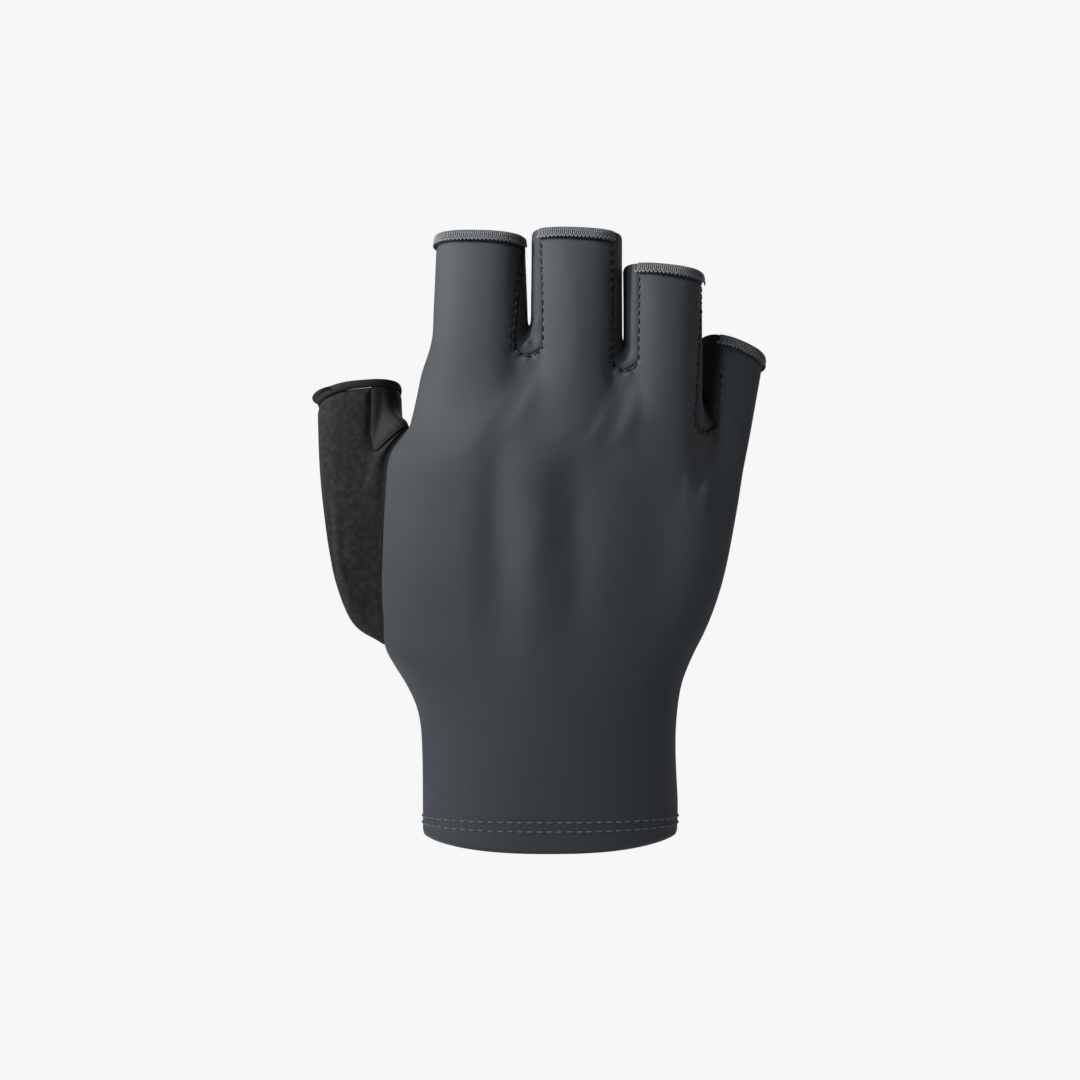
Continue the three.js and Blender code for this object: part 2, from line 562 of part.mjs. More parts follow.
// The closed shell of one piece: its cells between two depths under the skin, drawn back from its
// neighbours by half a clearance. depth is measured inwards.
function shellGeometry(name, top, bottom) {
  const cells = skin.cells.filter((cell) => cell.name === name);
  const edges = new Map();
  for (const { corners } of cells) {
    corners.forEach((from, i) => {
      const to = corners[(i + 1) % 4];
      if (edges.has(to + " " + from)) edges.delete(to + " " + from);
      else edges.set(from + " " + to, [from, to]);
    });
  }
  const inward = new Map();
  for (const [from, to] of edges.values()) {
    const run = skin.points[to].clone().sub(skin.points[from]);
    for (const i of [from, to]) {
      const side = normals[i].clone().cross(run).normalize();
      inward.set(i, (inward.get(i) ?? []).concat([side]));
    }
  }
  const vertices = [];
  const place = new Map();
  for (const { corners } of cells) {
    for (const i of corners) {
      if (place.has(i)) continue;
      place.set(i, vertices.length / 3);
      const point = skin.points[i].clone();
      const sides = inward.get(i) ?? [];
      if (sides.length) {
        const sum = sides.reduce((total, side) => total.add(side), new THREE.Vector3());
        const miter = (sides.length * SEAM_CLEARANCE) / 2 / Math.max(sum.lengthSq() / sides.length, 0.5);
        point.addScaledVector(sum, miter / sides.length);
      }
      vertices.push(...point.clone().addScaledVector(normals[i], -top));
      vertices.push(...point.clone().addScaledVector(normals[i], -bottom));
    }
  }
  const faces = [];
  const addFace = (a, b, c, d) => faces.push(a, b, c, a, c, d);
  for (const { corners } of cells) {
    const [a, b, c, d] = corners.map((i) => place.get(i));
    addFace(a, b, c, d);
    addFace(d + 1, c + 1, b + 1, a + 1);
  }
  for (const [from, to] of edges.values()) {
    const a = place.get(from);
    const b = place.get(to);
    addFace(b, a, a + 1, b + 1);
  }
  const geometry = new THREE.BufferGeometry();
  geometry.setAttribute("position", new THREE.Float32BufferAttribute(vertices, 3));
  geometry.setIndex(faces);
  return geometry;
}

const KNIT = { color: 0x3f454b, roughness: 0.7, metalness: 0 };
const GUSSET_KNIT = { color: 0x33383d, roughness: 0.7, metalness: 0 };
const OVERLOCK = { color: 0x6d757b, roughness: 0.85, metalness: 0 };
const SUEDE = { color: 0x29292a, roughness: 0.95, metalness: 0 };
const SMOOTH_LEATHER = { color: 0x1f1c1b, roughness: 0.6, metalness: 0 };

const glove = new THREE.Group();

// One piece of the given wall, its outer face proud of the skin by a given height
function addPiece(name, look, wall, proud = 0) {
  const material = new THREE.MeshStandardMaterial(look);
  const mesh = new THREE.Mesh(shellGeometry(name, -proud, wall - proud), material);
  mesh.name = name;
  glove.add(mesh);
}

addPiece("back_panel", KNIT, KNIT_WALL);
addPiece("palm_panel", SUEDE, SUEDE_WALL);
addPiece("wrist_panel", KNIT, KNIT_WALL);
addPiece("thumb_panel", SUEDE, SUEDE_WALL);
addPiece("thumb_gusset", SMOOTH_LEATHER, SUEDE_WALL);
FINGERS.slice(1).forEach((finger, slot) => addPiece(gussetName(slot), GUSSET_KNIT, KNIT_WALL));
FINGERS.forEach(({ name }) => addPiece(name + "_edge_binding", OVERLOCK, BINDING_WALL, BINDING_PROUD));
addPiece("thumb_edge_binding", SMOOTH_LEATHER, SUEDE_WALL);
addPiece("cuff_hem", KNIT, HEM_WALL, -KNIT_WALL - HEM_CLEARANCE);

export default glove;
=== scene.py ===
"""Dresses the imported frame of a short-finger cycling glove.

It has a knit back, a suede palm and thumb, sewn seams and stitches.

The glove's surface is worked out in millimetres from its named sizes and written to meshes in metres.
The origin is the centre of the cuff opening, +Z runs to the fingertips and -Y out of the back of the hand.
"""

from __future__ import annotations

import logging
import math
from dataclasses import dataclass, field, replace
from enum import Enum
from typing import Callable, Iterable, Sequence

import bpy
import numpy as np
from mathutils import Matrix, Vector
from mathutils.bvhtree import BVHTree
from mathutils.kdtree import KDTree

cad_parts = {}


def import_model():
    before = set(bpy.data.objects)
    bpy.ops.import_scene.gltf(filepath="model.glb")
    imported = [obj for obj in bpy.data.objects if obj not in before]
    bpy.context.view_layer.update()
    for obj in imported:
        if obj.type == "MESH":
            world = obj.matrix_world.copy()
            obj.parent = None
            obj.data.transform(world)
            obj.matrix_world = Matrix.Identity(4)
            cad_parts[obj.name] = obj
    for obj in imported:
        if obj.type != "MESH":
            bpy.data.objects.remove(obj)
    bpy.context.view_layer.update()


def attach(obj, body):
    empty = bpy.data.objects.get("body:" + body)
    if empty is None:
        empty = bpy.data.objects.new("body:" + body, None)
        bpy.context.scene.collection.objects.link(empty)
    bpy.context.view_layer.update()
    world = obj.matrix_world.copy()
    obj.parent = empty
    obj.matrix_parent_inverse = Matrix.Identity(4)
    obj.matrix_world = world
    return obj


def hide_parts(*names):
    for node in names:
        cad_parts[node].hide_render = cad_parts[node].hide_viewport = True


LOG = logging.getLogger("glove")
MM = 0.001  # metres in a millimetre
TINY = 1e-12  # the least length that a vector is divided by
ROOT = "root"  # the one body that every piece rides on
CLOTH_MAP = "cloth"  # the map that says where each corner lies on its cloth, in mm

Point = np.ndarray
Colour = tuple[float, float, float] | bpy.types.NodeSocket


class Side(Enum):
    """The two faces of the hand."""

    BACK = 1
    PALM = -1


class Ply(Enum):
    """The glove's pieces, under the names that they have in the frame."""

    BACK = "back_panel"
    PALM = "palm_panel"
    WRIST = "wrist_panel"
    THUMB = "thumb_panel"
    PATCH = "thumb_gusset"
    INDEX_MIDDLE = "index_middle_gusset"
    MIDDLE_RING = "middle_ring_gusset"
    RING_LITTLE = "ring_little_gusset"
    INDEX_EDGE = "index_edge_binding"
    MIDDLE_EDGE = "middle_edge_binding"
    RING_EDGE = "ring_edge_binding"
    LITTLE_EDGE = "little_edge_binding"
    THUMB_EDGE = "thumb_edge_binding"
    HEM = "cuff_hem"


GUSSETS = (Ply.INDEX_MIDDLE, Ply.MIDDLE_RING, Ply.RING_LITTLE)
FINGER_EDGES = (Ply.INDEX_EDGE, Ply.MIDDLE_EDGE, Ply.RING_EDGE, Ply.LITTLE_EDGE)


@dataclass(frozen=True)
class Finger:
    """One finger's tube: sizes in mm, and shares of its width.

    gap is the room to the next finger, forward a share of the palm's depth and roll in degrees. left and
    right are the angles of its gusset seams at the rim, in degrees. taper is the width of the foot, lean
    the rim's way sideways and slant the drop of the rim's outer side.
    """

    width: float
    depth: float
    length: float
    gap: float
    forward: float
    roll: float
    left: float
    right: float
    taper: float
    lean: float
    slant: float
    centre: float = 0.0
    foot: float = 0.0

    @property
    def foot_width(self) -> float:
        """The finger's width where it leaves the hand."""
        return self.width * self.taper

    @property
    def pitch(self) -> float:
        """The way from its outer side to the next finger's."""
        return self.foot_width + self.gap * self.width

    @property
    def rim(self) -> float:
        """The height of the finger's rim at its middle."""
        return self.foot + self.length


@dataclass(frozen=True)
class Section:
    """One section of the body, as shares of the palm's length, width and depth."""

    height: float
    flare: float
    shift: float
    thin: float
    back: float


@dataclass(frozen=True)
class Dent:
    """A dent (deep above 0) or swelling of the body, in shares of the palm's sizes."""

    side: Side
    across: float
    height: float
    wide: float
    long: float
    deep: float


@dataclass(frozen=True)
class GloveSizes:
    """The glove's sizes in millimetres and its section angles in degrees."""

    cuff_width: float = 67.0
    cuff_depth: float = 41.0
    cuff_dip: float = 1.8
    cuff_arch: float = 2.0
    palm_width: float = 94.0
    palm_depth: float = 32.0
    palm_length: float = 129.0
    knuckle_offset: float = 11.0
    index_shoulder: float = 3.0
    middle_ring_drop: float = 4.0
    ring_little_drop: float = 20.0
    little_shoulder: float = 5.0
    slot_rise: float = 7.0
    slot_sag: float = 1.6
    palm_lift: float = 3.0
    rim_tilt: float = 1.4
    finger_curl: float = 3.0
    rim_flare: float = 0.006
    thumb_width: float = 22.4
    thumb_depth: float = 21.0
    thumb_forward: float = 11.0
    thumb_reach: float = 118.8
    thumb_open: float = 1.8
    thumb_crotch_height: float = 107.8
    thumb_web_dip: float = 12.0
    thumb_seam_height: float = 48.7
    thumb_slant: float = 1.5
    thumb_tilt: float = 2.8
    seam_angle: float = 42.0
    seam_bend: float = 1.5
    side_angle: float = 25.0
    squareness: float = 2.4
    knuckle_blend: float = 30.0
    slot_blend: float = 12.0
    palm_slot_blend: float = 26.0
    side_blend: float = 9.0
    binding_height: float = 2.6
    thumb_binding_height: float = 0.9
    sections: tuple[Section, ...] = (
        Section(0.0, 0.0, 0.0, 0.0, 0.5),
        Section(0.04, 0.02, 0.003, 0.0, 0.5),
        Section(0.19, 0.0, -0.002, 0.1, 0.5),
        Section(0.26, 0.05, -0.005, 0.15, 0.49),
        Section(0.32, 0.22, -0.016, 0.25, 0.48),
        Section(0.378, 0.51, -0.026, 0.42, 0.47),
        Section(0.434, 0.68, -0.012, 0.5, 0.46),
        Section(0.5, 0.82, 0.002, 0.62, 0.47),
        Section(0.566, 0.91, 0.013, 0.75, 0.48),
        Section(0.7, 1.0, 0.034, 1.0, 0.49),
        Section(0.763, 1.02, 0.043, 1.0, 0.5),
        Section(0.806, 0.99, 0.056, 1.05, 0.5),
        Section(0.837, 0.88, 0.08, 1.08, 0.51),
        Section(0.93, 0.84, 0.11, 1.15, 0.51),
        Section(1.03, 0.82, 0.131, 1.2, 0.52),
    )
    fingers: tuple[Finger, ...] = (
        Finger(23.2, 20.0, 30.0, 0.013, -0.1, -6.0, 0.0, 8.0, 1.103, 0.0, 0.012),
        Finger(23.8, 20.0, 30.6, 0.015, -0.14, 0.0, 36.0, 42.0, 1.02, 0.008, 0.02),
        Finger(20.6, 20.0, 25.0, -0.015, -0.12, 6.0, 46.0, 8.0, 1.0, 0.0, 0.05),
        Finger(16.8, 16.5, 21.0, 0.0, 0.1, 22.0, 42.0, 0.0, 0.78, 0.143, 0.2),
    )
    dents: tuple[Dent, ...] = (
        Dent(Side.BACK, -0.14, 0.62, 0.06, 0.2, 0.06),
        Dent(Side.BACK, 0.06, 0.62, 0.06, 0.2, 0.06),
        Dent(Side.BACK, 0.3, 0.6, 0.1, 0.17, 0.06),
        Dent(Side.BACK, -0.2, 0.83, 0.07, 0.07, -0.04),
        Dent(Side.BACK, 0.06, 0.85, 0.07, 0.07, -0.05),
        Dent(Side.PALM, 0.05, 0.62, 0.15, 0.2, 0.12),
        Dent(Side.PALM, 0.33, 0.5, 0.14, 0.18, -0.07),
        Dent(Side.PALM, 0.1, 0.9, 0.4, 0.07, -0.06),
    )


@dataclass(frozen=True)
class ThumbForm:
    """How the thumb leaves its seam, and where its smooth patch lies. Angles in degrees round the rim."""

    corner: float = 50.0
    rise: float = 0.95
    puff: float = 0.6
    spread: float = 0.2
    away: float = 0.75
    swell: float = 1.0
    upright: float = 2.5
    patch_start: float = -14.0
    patch_end: float = 74.0
    patch_foot: float = -3.5
    patch_shoulder: float = 7.0
    patch_margin: float = 0.07
    patch_level: float = 0.5
    patch_blend: float = 2.4
    back_column: int = 2
    front_columns: int = 5
    web_columns: int = 7
    rows: int = 9
    foot_rows: int = 3


@dataclass(frozen=True)
class CellCounts:
    """How the surface is divided before it is refined, in cells."""

    outer: int = 8
    back: int = 6
    front: int = 5
    slot: int = 2
    gusset: int = 4
    finger_rows: int = 5
    cuff_rows: int = 6
    thumb_seam_rows: int = 10
    knuckle_rows: int = 5

    @property
    def crotch_row(self) -> int:
        """The row that meets the thumb's crotch."""
        return self.cuff_rows + self.thumb_seam_rows

    @property
    def body_rows(self) -> int:
        """All rows from the cuff to the feet of the fingers."""
        return self.crotch_row + self.knuckle_rows


@dataclass(frozen=True)
class Column:
    """A column of the body. It belongs to a finger at an angle, or bridges the slot beyond that finger."""

    side: Side
    blend: float
    even: float
    finger: int = -1
    angle: float = 0.0
    slot: int = -1
    across: float = 0.0


def lerp(start: float, end: float, share: float) -> float:
    """The value a share of the way from start to end."""
    return start + (end - start) * share


def clamp(value: float, low: float = 0.0, high: float = 1.0) -> float:
    """The value kept between low and high."""
    return max(low, min(high, value))


def smoothstep(value: float, low: float, high: float) -> float:
    """A smooth rise from 0 at low to 1 at high."""
    share = clamp((value - low) / (high - low))
    return share * share * (3 - 2 * share)


def hermite(start: float, end: float, leave: float, arrive: float, share: float) -> float:
    """A smooth run between two values.

    Args:
        start: the first value.
        end: the last value.
        leave: the slope at the start.
        arrive: the slope at the end.
        share: how far along, from 0 to 1.

    Returns:
        The value there.
    """
    rest = 1 - share
    ends = start * rest * rest * (1 + 2 * share) + end * share * share * (3 - 2 * share)
    return ends + leave * share * rest * rest - arrive * share * share * rest


def square_cos(angle: float, squareness: float) -> float:
    """The cosine of a rounded-square section.

    Args:
        angle: round the section, in radians.
        squareness: 2 for an ellipse, and more for squarer corners.

    Returns:
        The cosine, from -1 to 1.
    """
    value = math.cos(angle)
    return math.copysign(abs(value) ** (2 / squareness), value)


def square_sin(angle: float, squareness: float) -> float:
    """The sine of a rounded-square section.

    Args:
        angle: round the section, in radians.
        squareness: 2 for an ellipse, and more for squarer corners.

    Returns:
        The sine, from -1 to 1.
    """
    value = math.sin(angle)
    return math.copysign(abs(value) ** (2 / squareness), value)


def unit(vector: Point) -> Point:
    """The vector at length 1."""
    return vector / max(float(np.linalg.norm(vector)), TINY)


def unit_rows(vectors: Point) -> Point:
    """The vectors of a table, each at length 1."""
    return vectors / np.maximum(np.linalg.norm(vectors, axis=1, keepdims=True), TINY)


def lengths_along(path: Point) -> Point:
    """How far along a path each of its points lies."""
    return np.concatenate(([0.0], np.cumsum(np.linalg.norm(np.diff(path, axis=0), axis=1))))


def at_places(table: Point, length: Point, places: Point) -> Point:
    """The rows of a table at other places along it, where length says how far along its own rows are."""
    return np.stack([np.interp(places, length, table[:, k]) for k in range(3)], 1)


def tree_of(points: Sequence[Point]) -> KDTree:
    """A tree that finds the nearest of some points.

    Args:
        points: the points.

    Returns:
        The tree, which knows each point by its place in the list.
    """
    tree = KDTree(len(points))
    for i, point in enumerate(points):
        tree.insert(point, i)
    tree.balance()
    return tree


def cloth_mesh(
    name: str, points: Point, faces: list[list[int]], cloth: Sequence[tuple[float, float]]
) -> bpy.types.Mesh:
    """A smooth mesh in metres with a map of its cloth.

    Args:
        name: the mesh's name.
        points: its points in millimetres.
        faces: its faces, as point numbers.
        cloth: where each corner of each face lies on the cloth, in mm.

    Returns:
        The mesh.
    """
    mesh = bpy.data.meshes.new(name)
    mesh.from_pydata((points * MM).tolist(), [], faces)
    layer = mesh.uv_layers.new(name=CLOTH_MAP)
    layer.data.foreach_set("uv", np.array(cloth, dtype=np.float32).ravel())
    mesh.polygons.foreach_set("use_smooth", [True] * len(mesh.polygons))
    mesh.update()
    return mesh


class Form:
    """The glove's outer surface, as points in millimetres."""

    def __init__(self, sizes: GloveSizes, thumb: ThumbForm, cells: CellCounts) -> None:
        """Places the fingers and lays out the body's columns.

        Args:
            sizes: the glove's sizes.
            thumb: the thumb's form.
            cells: how the surface is divided.
        """
        self.sizes = sizes
        self.thumb = thumb
        self.cells = cells
        self.seam = math.radians(sizes.seam_angle)
        self.side = math.radians(sizes.side_angle)
        length = sizes.palm_length
        outer = length - sizes.ring_little_drop
        self.slots = (
            length + sizes.index_shoulder,
            length,
            length - sizes.middle_ring_drop,
            outer,
            outer - sizes.little_shoulder,
        )
        self.fingers = self._placed_fingers()
        self.last = len(self.fingers) - 1
        self.row_ends = (self._row_end(0, math.pi), self._row_end(self.last, 0.0))
        self.columns = self._half(Side.BACK) + self._half(Side.PALM)

    def _placed_fingers(self) -> tuple[Finger, ...]:
        """The fingers side by side across the top of the palm.

        Returns:
            The fingers, each with its middle and the height of its foot.
        """
        fingers = self.sizes.fingers
        row = sum(finger.pitch for finger in fingers)
        edge = self.sizes.knuckle_offset - row / 2
        placed = []
        for order, finger in enumerate(fingers):
            centre = edge + finger.foot_width / 2
            placed.append(replace(finger, centre=centre, foot=self.slots[max(order, 1)]))
            edge += finger.pitch
        return tuple(placed)

    def front_share(self, angle: float) -> float:
        """How far towards the palm a point of a section lies: 0 at the back, 1 at the palm."""
        return (1 - square_sin(angle, self.sizes.squareness)) / 2

    def finger_foot(self, order: int, angle: float) -> float:
        """The height at which a finger's tube leaves the hand.

        Args:
            order: the finger, from 0 for the index finger.
            angle: round the finger, in radians.

        Returns:
            The height in mm.
        """
        sizes = self.sizes
        seam = square_cos(self.seam, sizes.squareness)
        left = 1.0 if order == 0 else seam
        right = 1.0 if order == self.last else seam
        across = (square_cos(angle, sizes.squareness) + left) / (left + right)
        slot = lerp(self.slots[order], self.slots[order + 1], clamp(across))
        front = self.front_share(angle)
        bottom = self.front_share(self.seam)
        web = 0.0
        if (order > 0 and across < 0) or (order < self.last and across > 1):
            web = math.sin(math.pi * (front - bottom) / (1 - 2 * bottom))
        return slot + sizes.palm_lift * front + sizes.slot_rise * web

    def finger_rim(self, order: int, angle: float) -> float:
        """The height of a finger's rim at an angle round it.

        Args:
            order: the finger, from 0 for the index finger.
            angle: round the finger, in radians.

        Returns:
            The height in mm.
        """
        finger = self.fingers[order]
        sizes = self.sizes
        sideways = finger.slant * finger.width * square_cos(angle, sizes.squareness)
        return finger.rim + sizes.rim_tilt * square_sin(angle, sizes.squareness) - sideways

    def finger_point(self, order: int, angle: float, height: float) -> Point:
        """A point of a finger's tube.

        Args:
            order: the finger, from 0 for the index finger.
            angle: from the little finger's side (0) over the back (a quarter turn), in radians.
            height: above the cuff's centre, in mm.

        Returns:
            The point.
        """
        finger = self.fingers[order]
        sizes = self.sizes
        along = (height - finger.foot) / finger.length
        flare = 1 + sizes.rim_flare * (2 * clamp(along) - 1) ** 2
        width = lerp(finger.foot_width, finger.width, along)
        sideways = width / 2 * flare * square_cos(angle, sizes.squareness)
        forward = -finger.depth / 2 * flare * square_sin(angle, sizes.squareness)
        roll = math.radians(finger.roll)
        lean = finger.lean * finger.width * along
        curl = sizes.finger_curl * max(along, 0.0) ** 2
        across = finger.centre + lean + sideways * math.cos(roll) - forward * math.sin(roll)
        out = finger.forward * sizes.palm_depth + curl
        out += forward * math.cos(roll) + sideways * math.sin(roll)
        return np.array((across, out, height))

    def _half(self, side: Side) -> list[Column]:
        """The body's columns over the back, or home across the palm.

        Args:
            side: the face of the hand.

        Returns:
            Its columns, in the order that they run round the hand.
        """
        sizes, cells = self.sizes, self.cells
        on_back = side is Side.BACK
        slot_blend = sizes.slot_blend if on_back else sizes.palm_slot_blend
        order = range(self.last + 1) if on_back else range(self.last, -1, -1)
        start = math.pi + self.side if on_back else -self.side
        end = -self.side if on_back else self.side - math.pi
        inner = cells.back if on_back else cells.front
        counts = [cells.outer if f in (0, self.last) else inner for f in order]
        total = sum(counts) + cells.slot * self.last
        columns: list[Column] = []

        def even() -> float:
            """The next column's angle if all stood evenly."""
            return lerp(start, end, len(columns) / total)

        for place, (f, count) in enumerate(zip(order, counts)):
            enter = math.pi - self.seam if on_back else -self.seam
            leave = self.seam if on_back else self.seam - math.pi
            first = start if place == 0 else enter
            final = end if place == self.last else leave
            for i in range(count):
                angle = lerp(first, final, i / count)
                across = math.cos(angle)
                outer = (f == 0 and across < 0) or (f == self.last and across > 0)
                low = sizes.side_blend if outer else slot_blend
                blend = lerp(low, sizes.knuckle_blend, math.sin(angle) ** 2)
                columns.append(Column(side, blend, even(), finger=f, angle=angle))
            if place == self.last:
                continue
            blend = lerp(slot_blend, sizes.knuckle_blend, math.sin(self.seam) ** 2)
            for i in range(cells.slot):
                across = i / cells.slot if on_back else 1 - i / cells.slot
                slot = f if on_back else f - 1
                columns.append(Column(side, blend, even(), slot=slot, across=across))
        return columns

    def slot_point(self, slot: int, across: float, angle: float, drop: float) -> Point:
        """A point of the web in a finger slot.

        Args:
            slot: the slot, from 0 beside the index finger.
            across: from one finger (0) to the next (1).
            angle: round from the back to the palm, in radians.
            drop: how far the surface is carried down, in mm.

        Returns:
            The point.
        """
        left = self.finger_point(slot, angle, self.finger_foot(slot, angle) - drop)
        turned = math.pi - angle
        right = self.finger_point(slot + 1, turned, self.finger_foot(slot + 1, turned) - drop)
        point = left + (right - left) * across
        point[2] -= self.sizes.slot_sag * math.sin(math.pi * across)
        return point

    def foot_point(self, column: Column, drop: float) -> Point:
        """The foot of the fingers above a column, or the same surface carried down by drop.

        Args:
            column: the column.
            drop: how far the surface is carried down, in mm.

        Returns:
            The point.
        """
        if column.slot >= 0:
            return self.slot_point(column.slot, column.across, column.side.value * self.seam, drop)
        foot = self.finger_foot(column.finger, column.angle)
        return self.finger_point(column.finger, column.angle, foot - drop)

    def section_value(self, name: str, share: float) -> float:
        """A smooth curve through one column of the sections' table.

        Args:
            name: the column.
            share: the height as a share of the palm's length.

        Returns:
            The value there.
        """
        rows = self.sizes.sections
        last = len(rows) - 1
        i = 0
        while i < last - 1 and share > rows[i + 1].height:
            i += 1

        def slope(j: int) -> float:
            """The curve's slope at a row.

            Args:
                j: the row.

            Returns:
                The slope over the share of the height.
            """
            before, after = rows[max(j - 1, 0)], rows[min(j + 1, last)]
            return (getattr(after, name) - getattr(before, name)) / (after.height - before.height)

        start, end = rows[i], rows[i + 1]
        step = end.height - start.height
        along = clamp((share - start.height) / step)
        ends = getattr(start, name), getattr(end, name)
        return hermite(*ends, slope(i) * step, slope(i + 1) * step, along)

    def half_width(self, share: float) -> float:
        """Half the body's width at a height, as a share of the palm's length."""
        return lerp(self.sizes.cuff_width, self.sizes.palm_width, self.section_value("flare", share)) / 2

    def hand_point(self, angle: float, height: float) -> Point:
        """A point of the hand's rounded section at a height, with its dents.

        Args:
            angle: round the section, in radians.
            height: above the cuff's centre, in mm.

        Returns:
            The point.
        """
        sizes = self.sizes
        share = height / sizes.palm_length
        depth = lerp(sizes.cuff_depth, sizes.palm_depth, self.section_value("thin", share))
        back = self.section_value("back", share)
        if math.sin(angle) <= 0:
            back = 1 - back
        x = self.section_value("shift", share) * sizes.palm_width
        x += self.half_width(share) * square_cos(angle, sizes.squareness)
        rounding = square_sin(angle, sizes.squareness)
        y = -depth * back * rounding
        for dent in sizes.dents:
            if dent.side.value * rounding <= 0:
                continue
            away = (x / sizes.palm_width - dent.across) / dent.wide
            along = (share - dent.height) / dent.long
            fade = math.exp(-away * away - along * along) * abs(rounding)
            y += dent.side.value * dent.deep * sizes.palm_depth * fade
        return np.array((x, y, height))

    def _row_end(self, order: int, side: float) -> tuple[float, float]:
        """Where an outer finger's foot reaches farthest out: the angle there and the place across.

        Args:
            order: the finger.
            side: the angle of its outer side, in radians.

        Returns:
            The angle in radians and the place in mm.
        """
        angles = np.radians(np.arange(-60.0, 61.0)) + side
        feet = [self.finger_point(order, a, self.finger_foot(order, a))[0] for a in angles]
        farthest = int(np.argmax(np.abs(np.array(feet) - self.sizes.knuckle_offset)))
        return float(angles[farthest]), float(feet[farthest])

    def section_angle(self, column: Column, top: Point) -> float:
        """The angle on the hand's section that runs into a column.

        The outer sides of the row of fingers come down on the body's own sides.

        Args:
            column: the column.
            top: the foot of the fingers above it.

        Returns:
            The angle in radians.
        """
        sizes = self.sizes
        centre = self.section_value("shift", top[2] / sizes.palm_length) * sizes.palm_width
        (first_angle, left), (last_angle, right) = self.row_ends
        reach = centre - left if top[0] < centre else right - centre
        across = clamp((top[0] - centre) / reach, -1.0, 1.0)
        bent = math.acos(math.copysign(abs(across) ** (sizes.squareness / 2), across))
        on_back = column.side is Side.BACK
        if column.slot < 0:
            on_back = math.sin(column.angle) >= 0
        if column.side is Side.BACK and column.slot < 0:
            if column.finger == 0 and math.cos(column.angle) < 0:
                on_back = column.angle <= first_angle
            if column.finger == self.last and math.cos(column.angle) > 0:
                on_back = column.angle >= last_angle
        if on_back:
            return bent
        if column.side is Side.BACK and column.angle > math.pi / 2:
            return 2 * math.pi - bent
        return -bent

    def cuff_edge(self, even: float) -> float:
        """The height of the cuff's edge at an angle round it."""
        return self.sizes.cuff_arch * math.cos(even) ** 2 - self.sizes.cuff_dip * math.sin(even)

    def body_point(self, column: Column, level: float) -> Point:
        """A point of the body, from the cuff's edge (level 0) to the feet of the fingers (1).

        Args:
            column: the column.
            level: how far up it, as a share.

        Returns:
            The point.
        """
        top = self.foot_point(column, 0.0)
        height = lerp(self.cuff_edge(column.even), top[2], level)
        drop = top[2] - height
        wrist = smoothstep(drop / self.sizes.palm_length, 0.0, 1.0)
        angle = lerp(self.section_angle(column, top), column.even, wrist)
        hand = self.hand_point(angle, height)
        point = self.foot_point(column, drop)
        point = point + (hand - point) * smoothstep(drop, 0.0, column.blend)
        point[2] = height
        return point

    def body_level(self, column: int, row: float) -> float:
        """The share of the way up a column at which a row lies; the crotch row dips on the palm.

        Args:
            column: the number of the column.
            row: the row, from 0 at the cuff's edge.

        Returns:
            The share of the way up.
        """
        cells, thumb, sizes = self.cells, self.thumb, self.sizes
        count = len(self.columns)
        half = count / 2
        offset = (column + thumb.front_columns + half) % count - half
        away = clamp(abs(offset) / thumb.web_columns)
        cuff = sizes.thumb_seam_height / self.slots[0]
        dip = sizes.thumb_web_dip / self.slots[0] * (1 - smoothstep(away, 0.0, 1.0))
        crotch = sizes.thumb_crotch_height / self.slots[0] - dip
        if row <= cells.cuff_rows:
            return cuff * row / cells.cuff_rows
        if row <= cells.crotch_row:
            return lerp(cuff, crotch, (row - cells.cuff_rows) / cells.thumb_seam_rows)
        return lerp(crotch, 1.0, (row - cells.crotch_row) / cells.knuckle_rows)

    def body_vertex(self, column: int, row: int) -> Point:
        """The corner of the body's cells at a column and row."""
        found = self.columns[column % len(self.columns)]
        return self.body_point(found, self.body_level(column, row))

    def thumb_seam(self) -> list[tuple[Point, Point, Point]]:
        """The seam that the thumb is sewn along, as points with their normals and directions.

        It runs across under the crotch, down the palm, back across and up the back.

        Returns:
            A point, its normal and its direction for each corner on the seam.
        """
        back, front = self.thumb.back_column, -self.thumb.front_columns
        crotch, cuff = self.cells.crotch_row, self.cells.cuff_rows
        places = [(c, crotch) for c in range(back, front, -1)]
        places += [(front, r) for r in range(crotch, cuff, -1)]
        places += [(c, cuff) for c in range(front, back)]
        places += [(back, r) for r in range(cuff, crotch)]
        points = [self.body_vertex(c, r) for c, r in places]
        seam = []
        for i, (c, r) in enumerate(places):
            along = self.body_vertex(c + 1, r) - self.body_vertex(c - 1, r)
            up = self.body_vertex(c, r + 1) - self.body_vertex(c, r - 1)
            run = points[(i + 1) % len(points)] - points[i - 1]
            seam.append((points[i], unit(np.cross(along, up)), unit(run)))
        return seam

    def thumb_turn(self, place: float) -> float:
        """Where a point of the thumb's seam comes out round its rim, in radians.

        Args:
            place: how many corners along the seam it lies.

        Returns:
            The angle in radians.
        """
        across = self.thumb.back_column + self.thumb.front_columns
        down = self.cells.thumb_seam_rows
        stops = (0, across, across + down, 2 * across + down, 2 * (across + down))
        corner = math.radians(self.thumb.corner)
        full = 2 * math.pi
        angles = (corner, -corner, corner - math.pi, -corner - math.pi, corner - full)
        i = 0
        while place > stops[i + 1]:
            i += 1
        return lerp(angles[i], angles[i + 1], (place - stops[i]) / (stops[i + 1] - stops[i]))

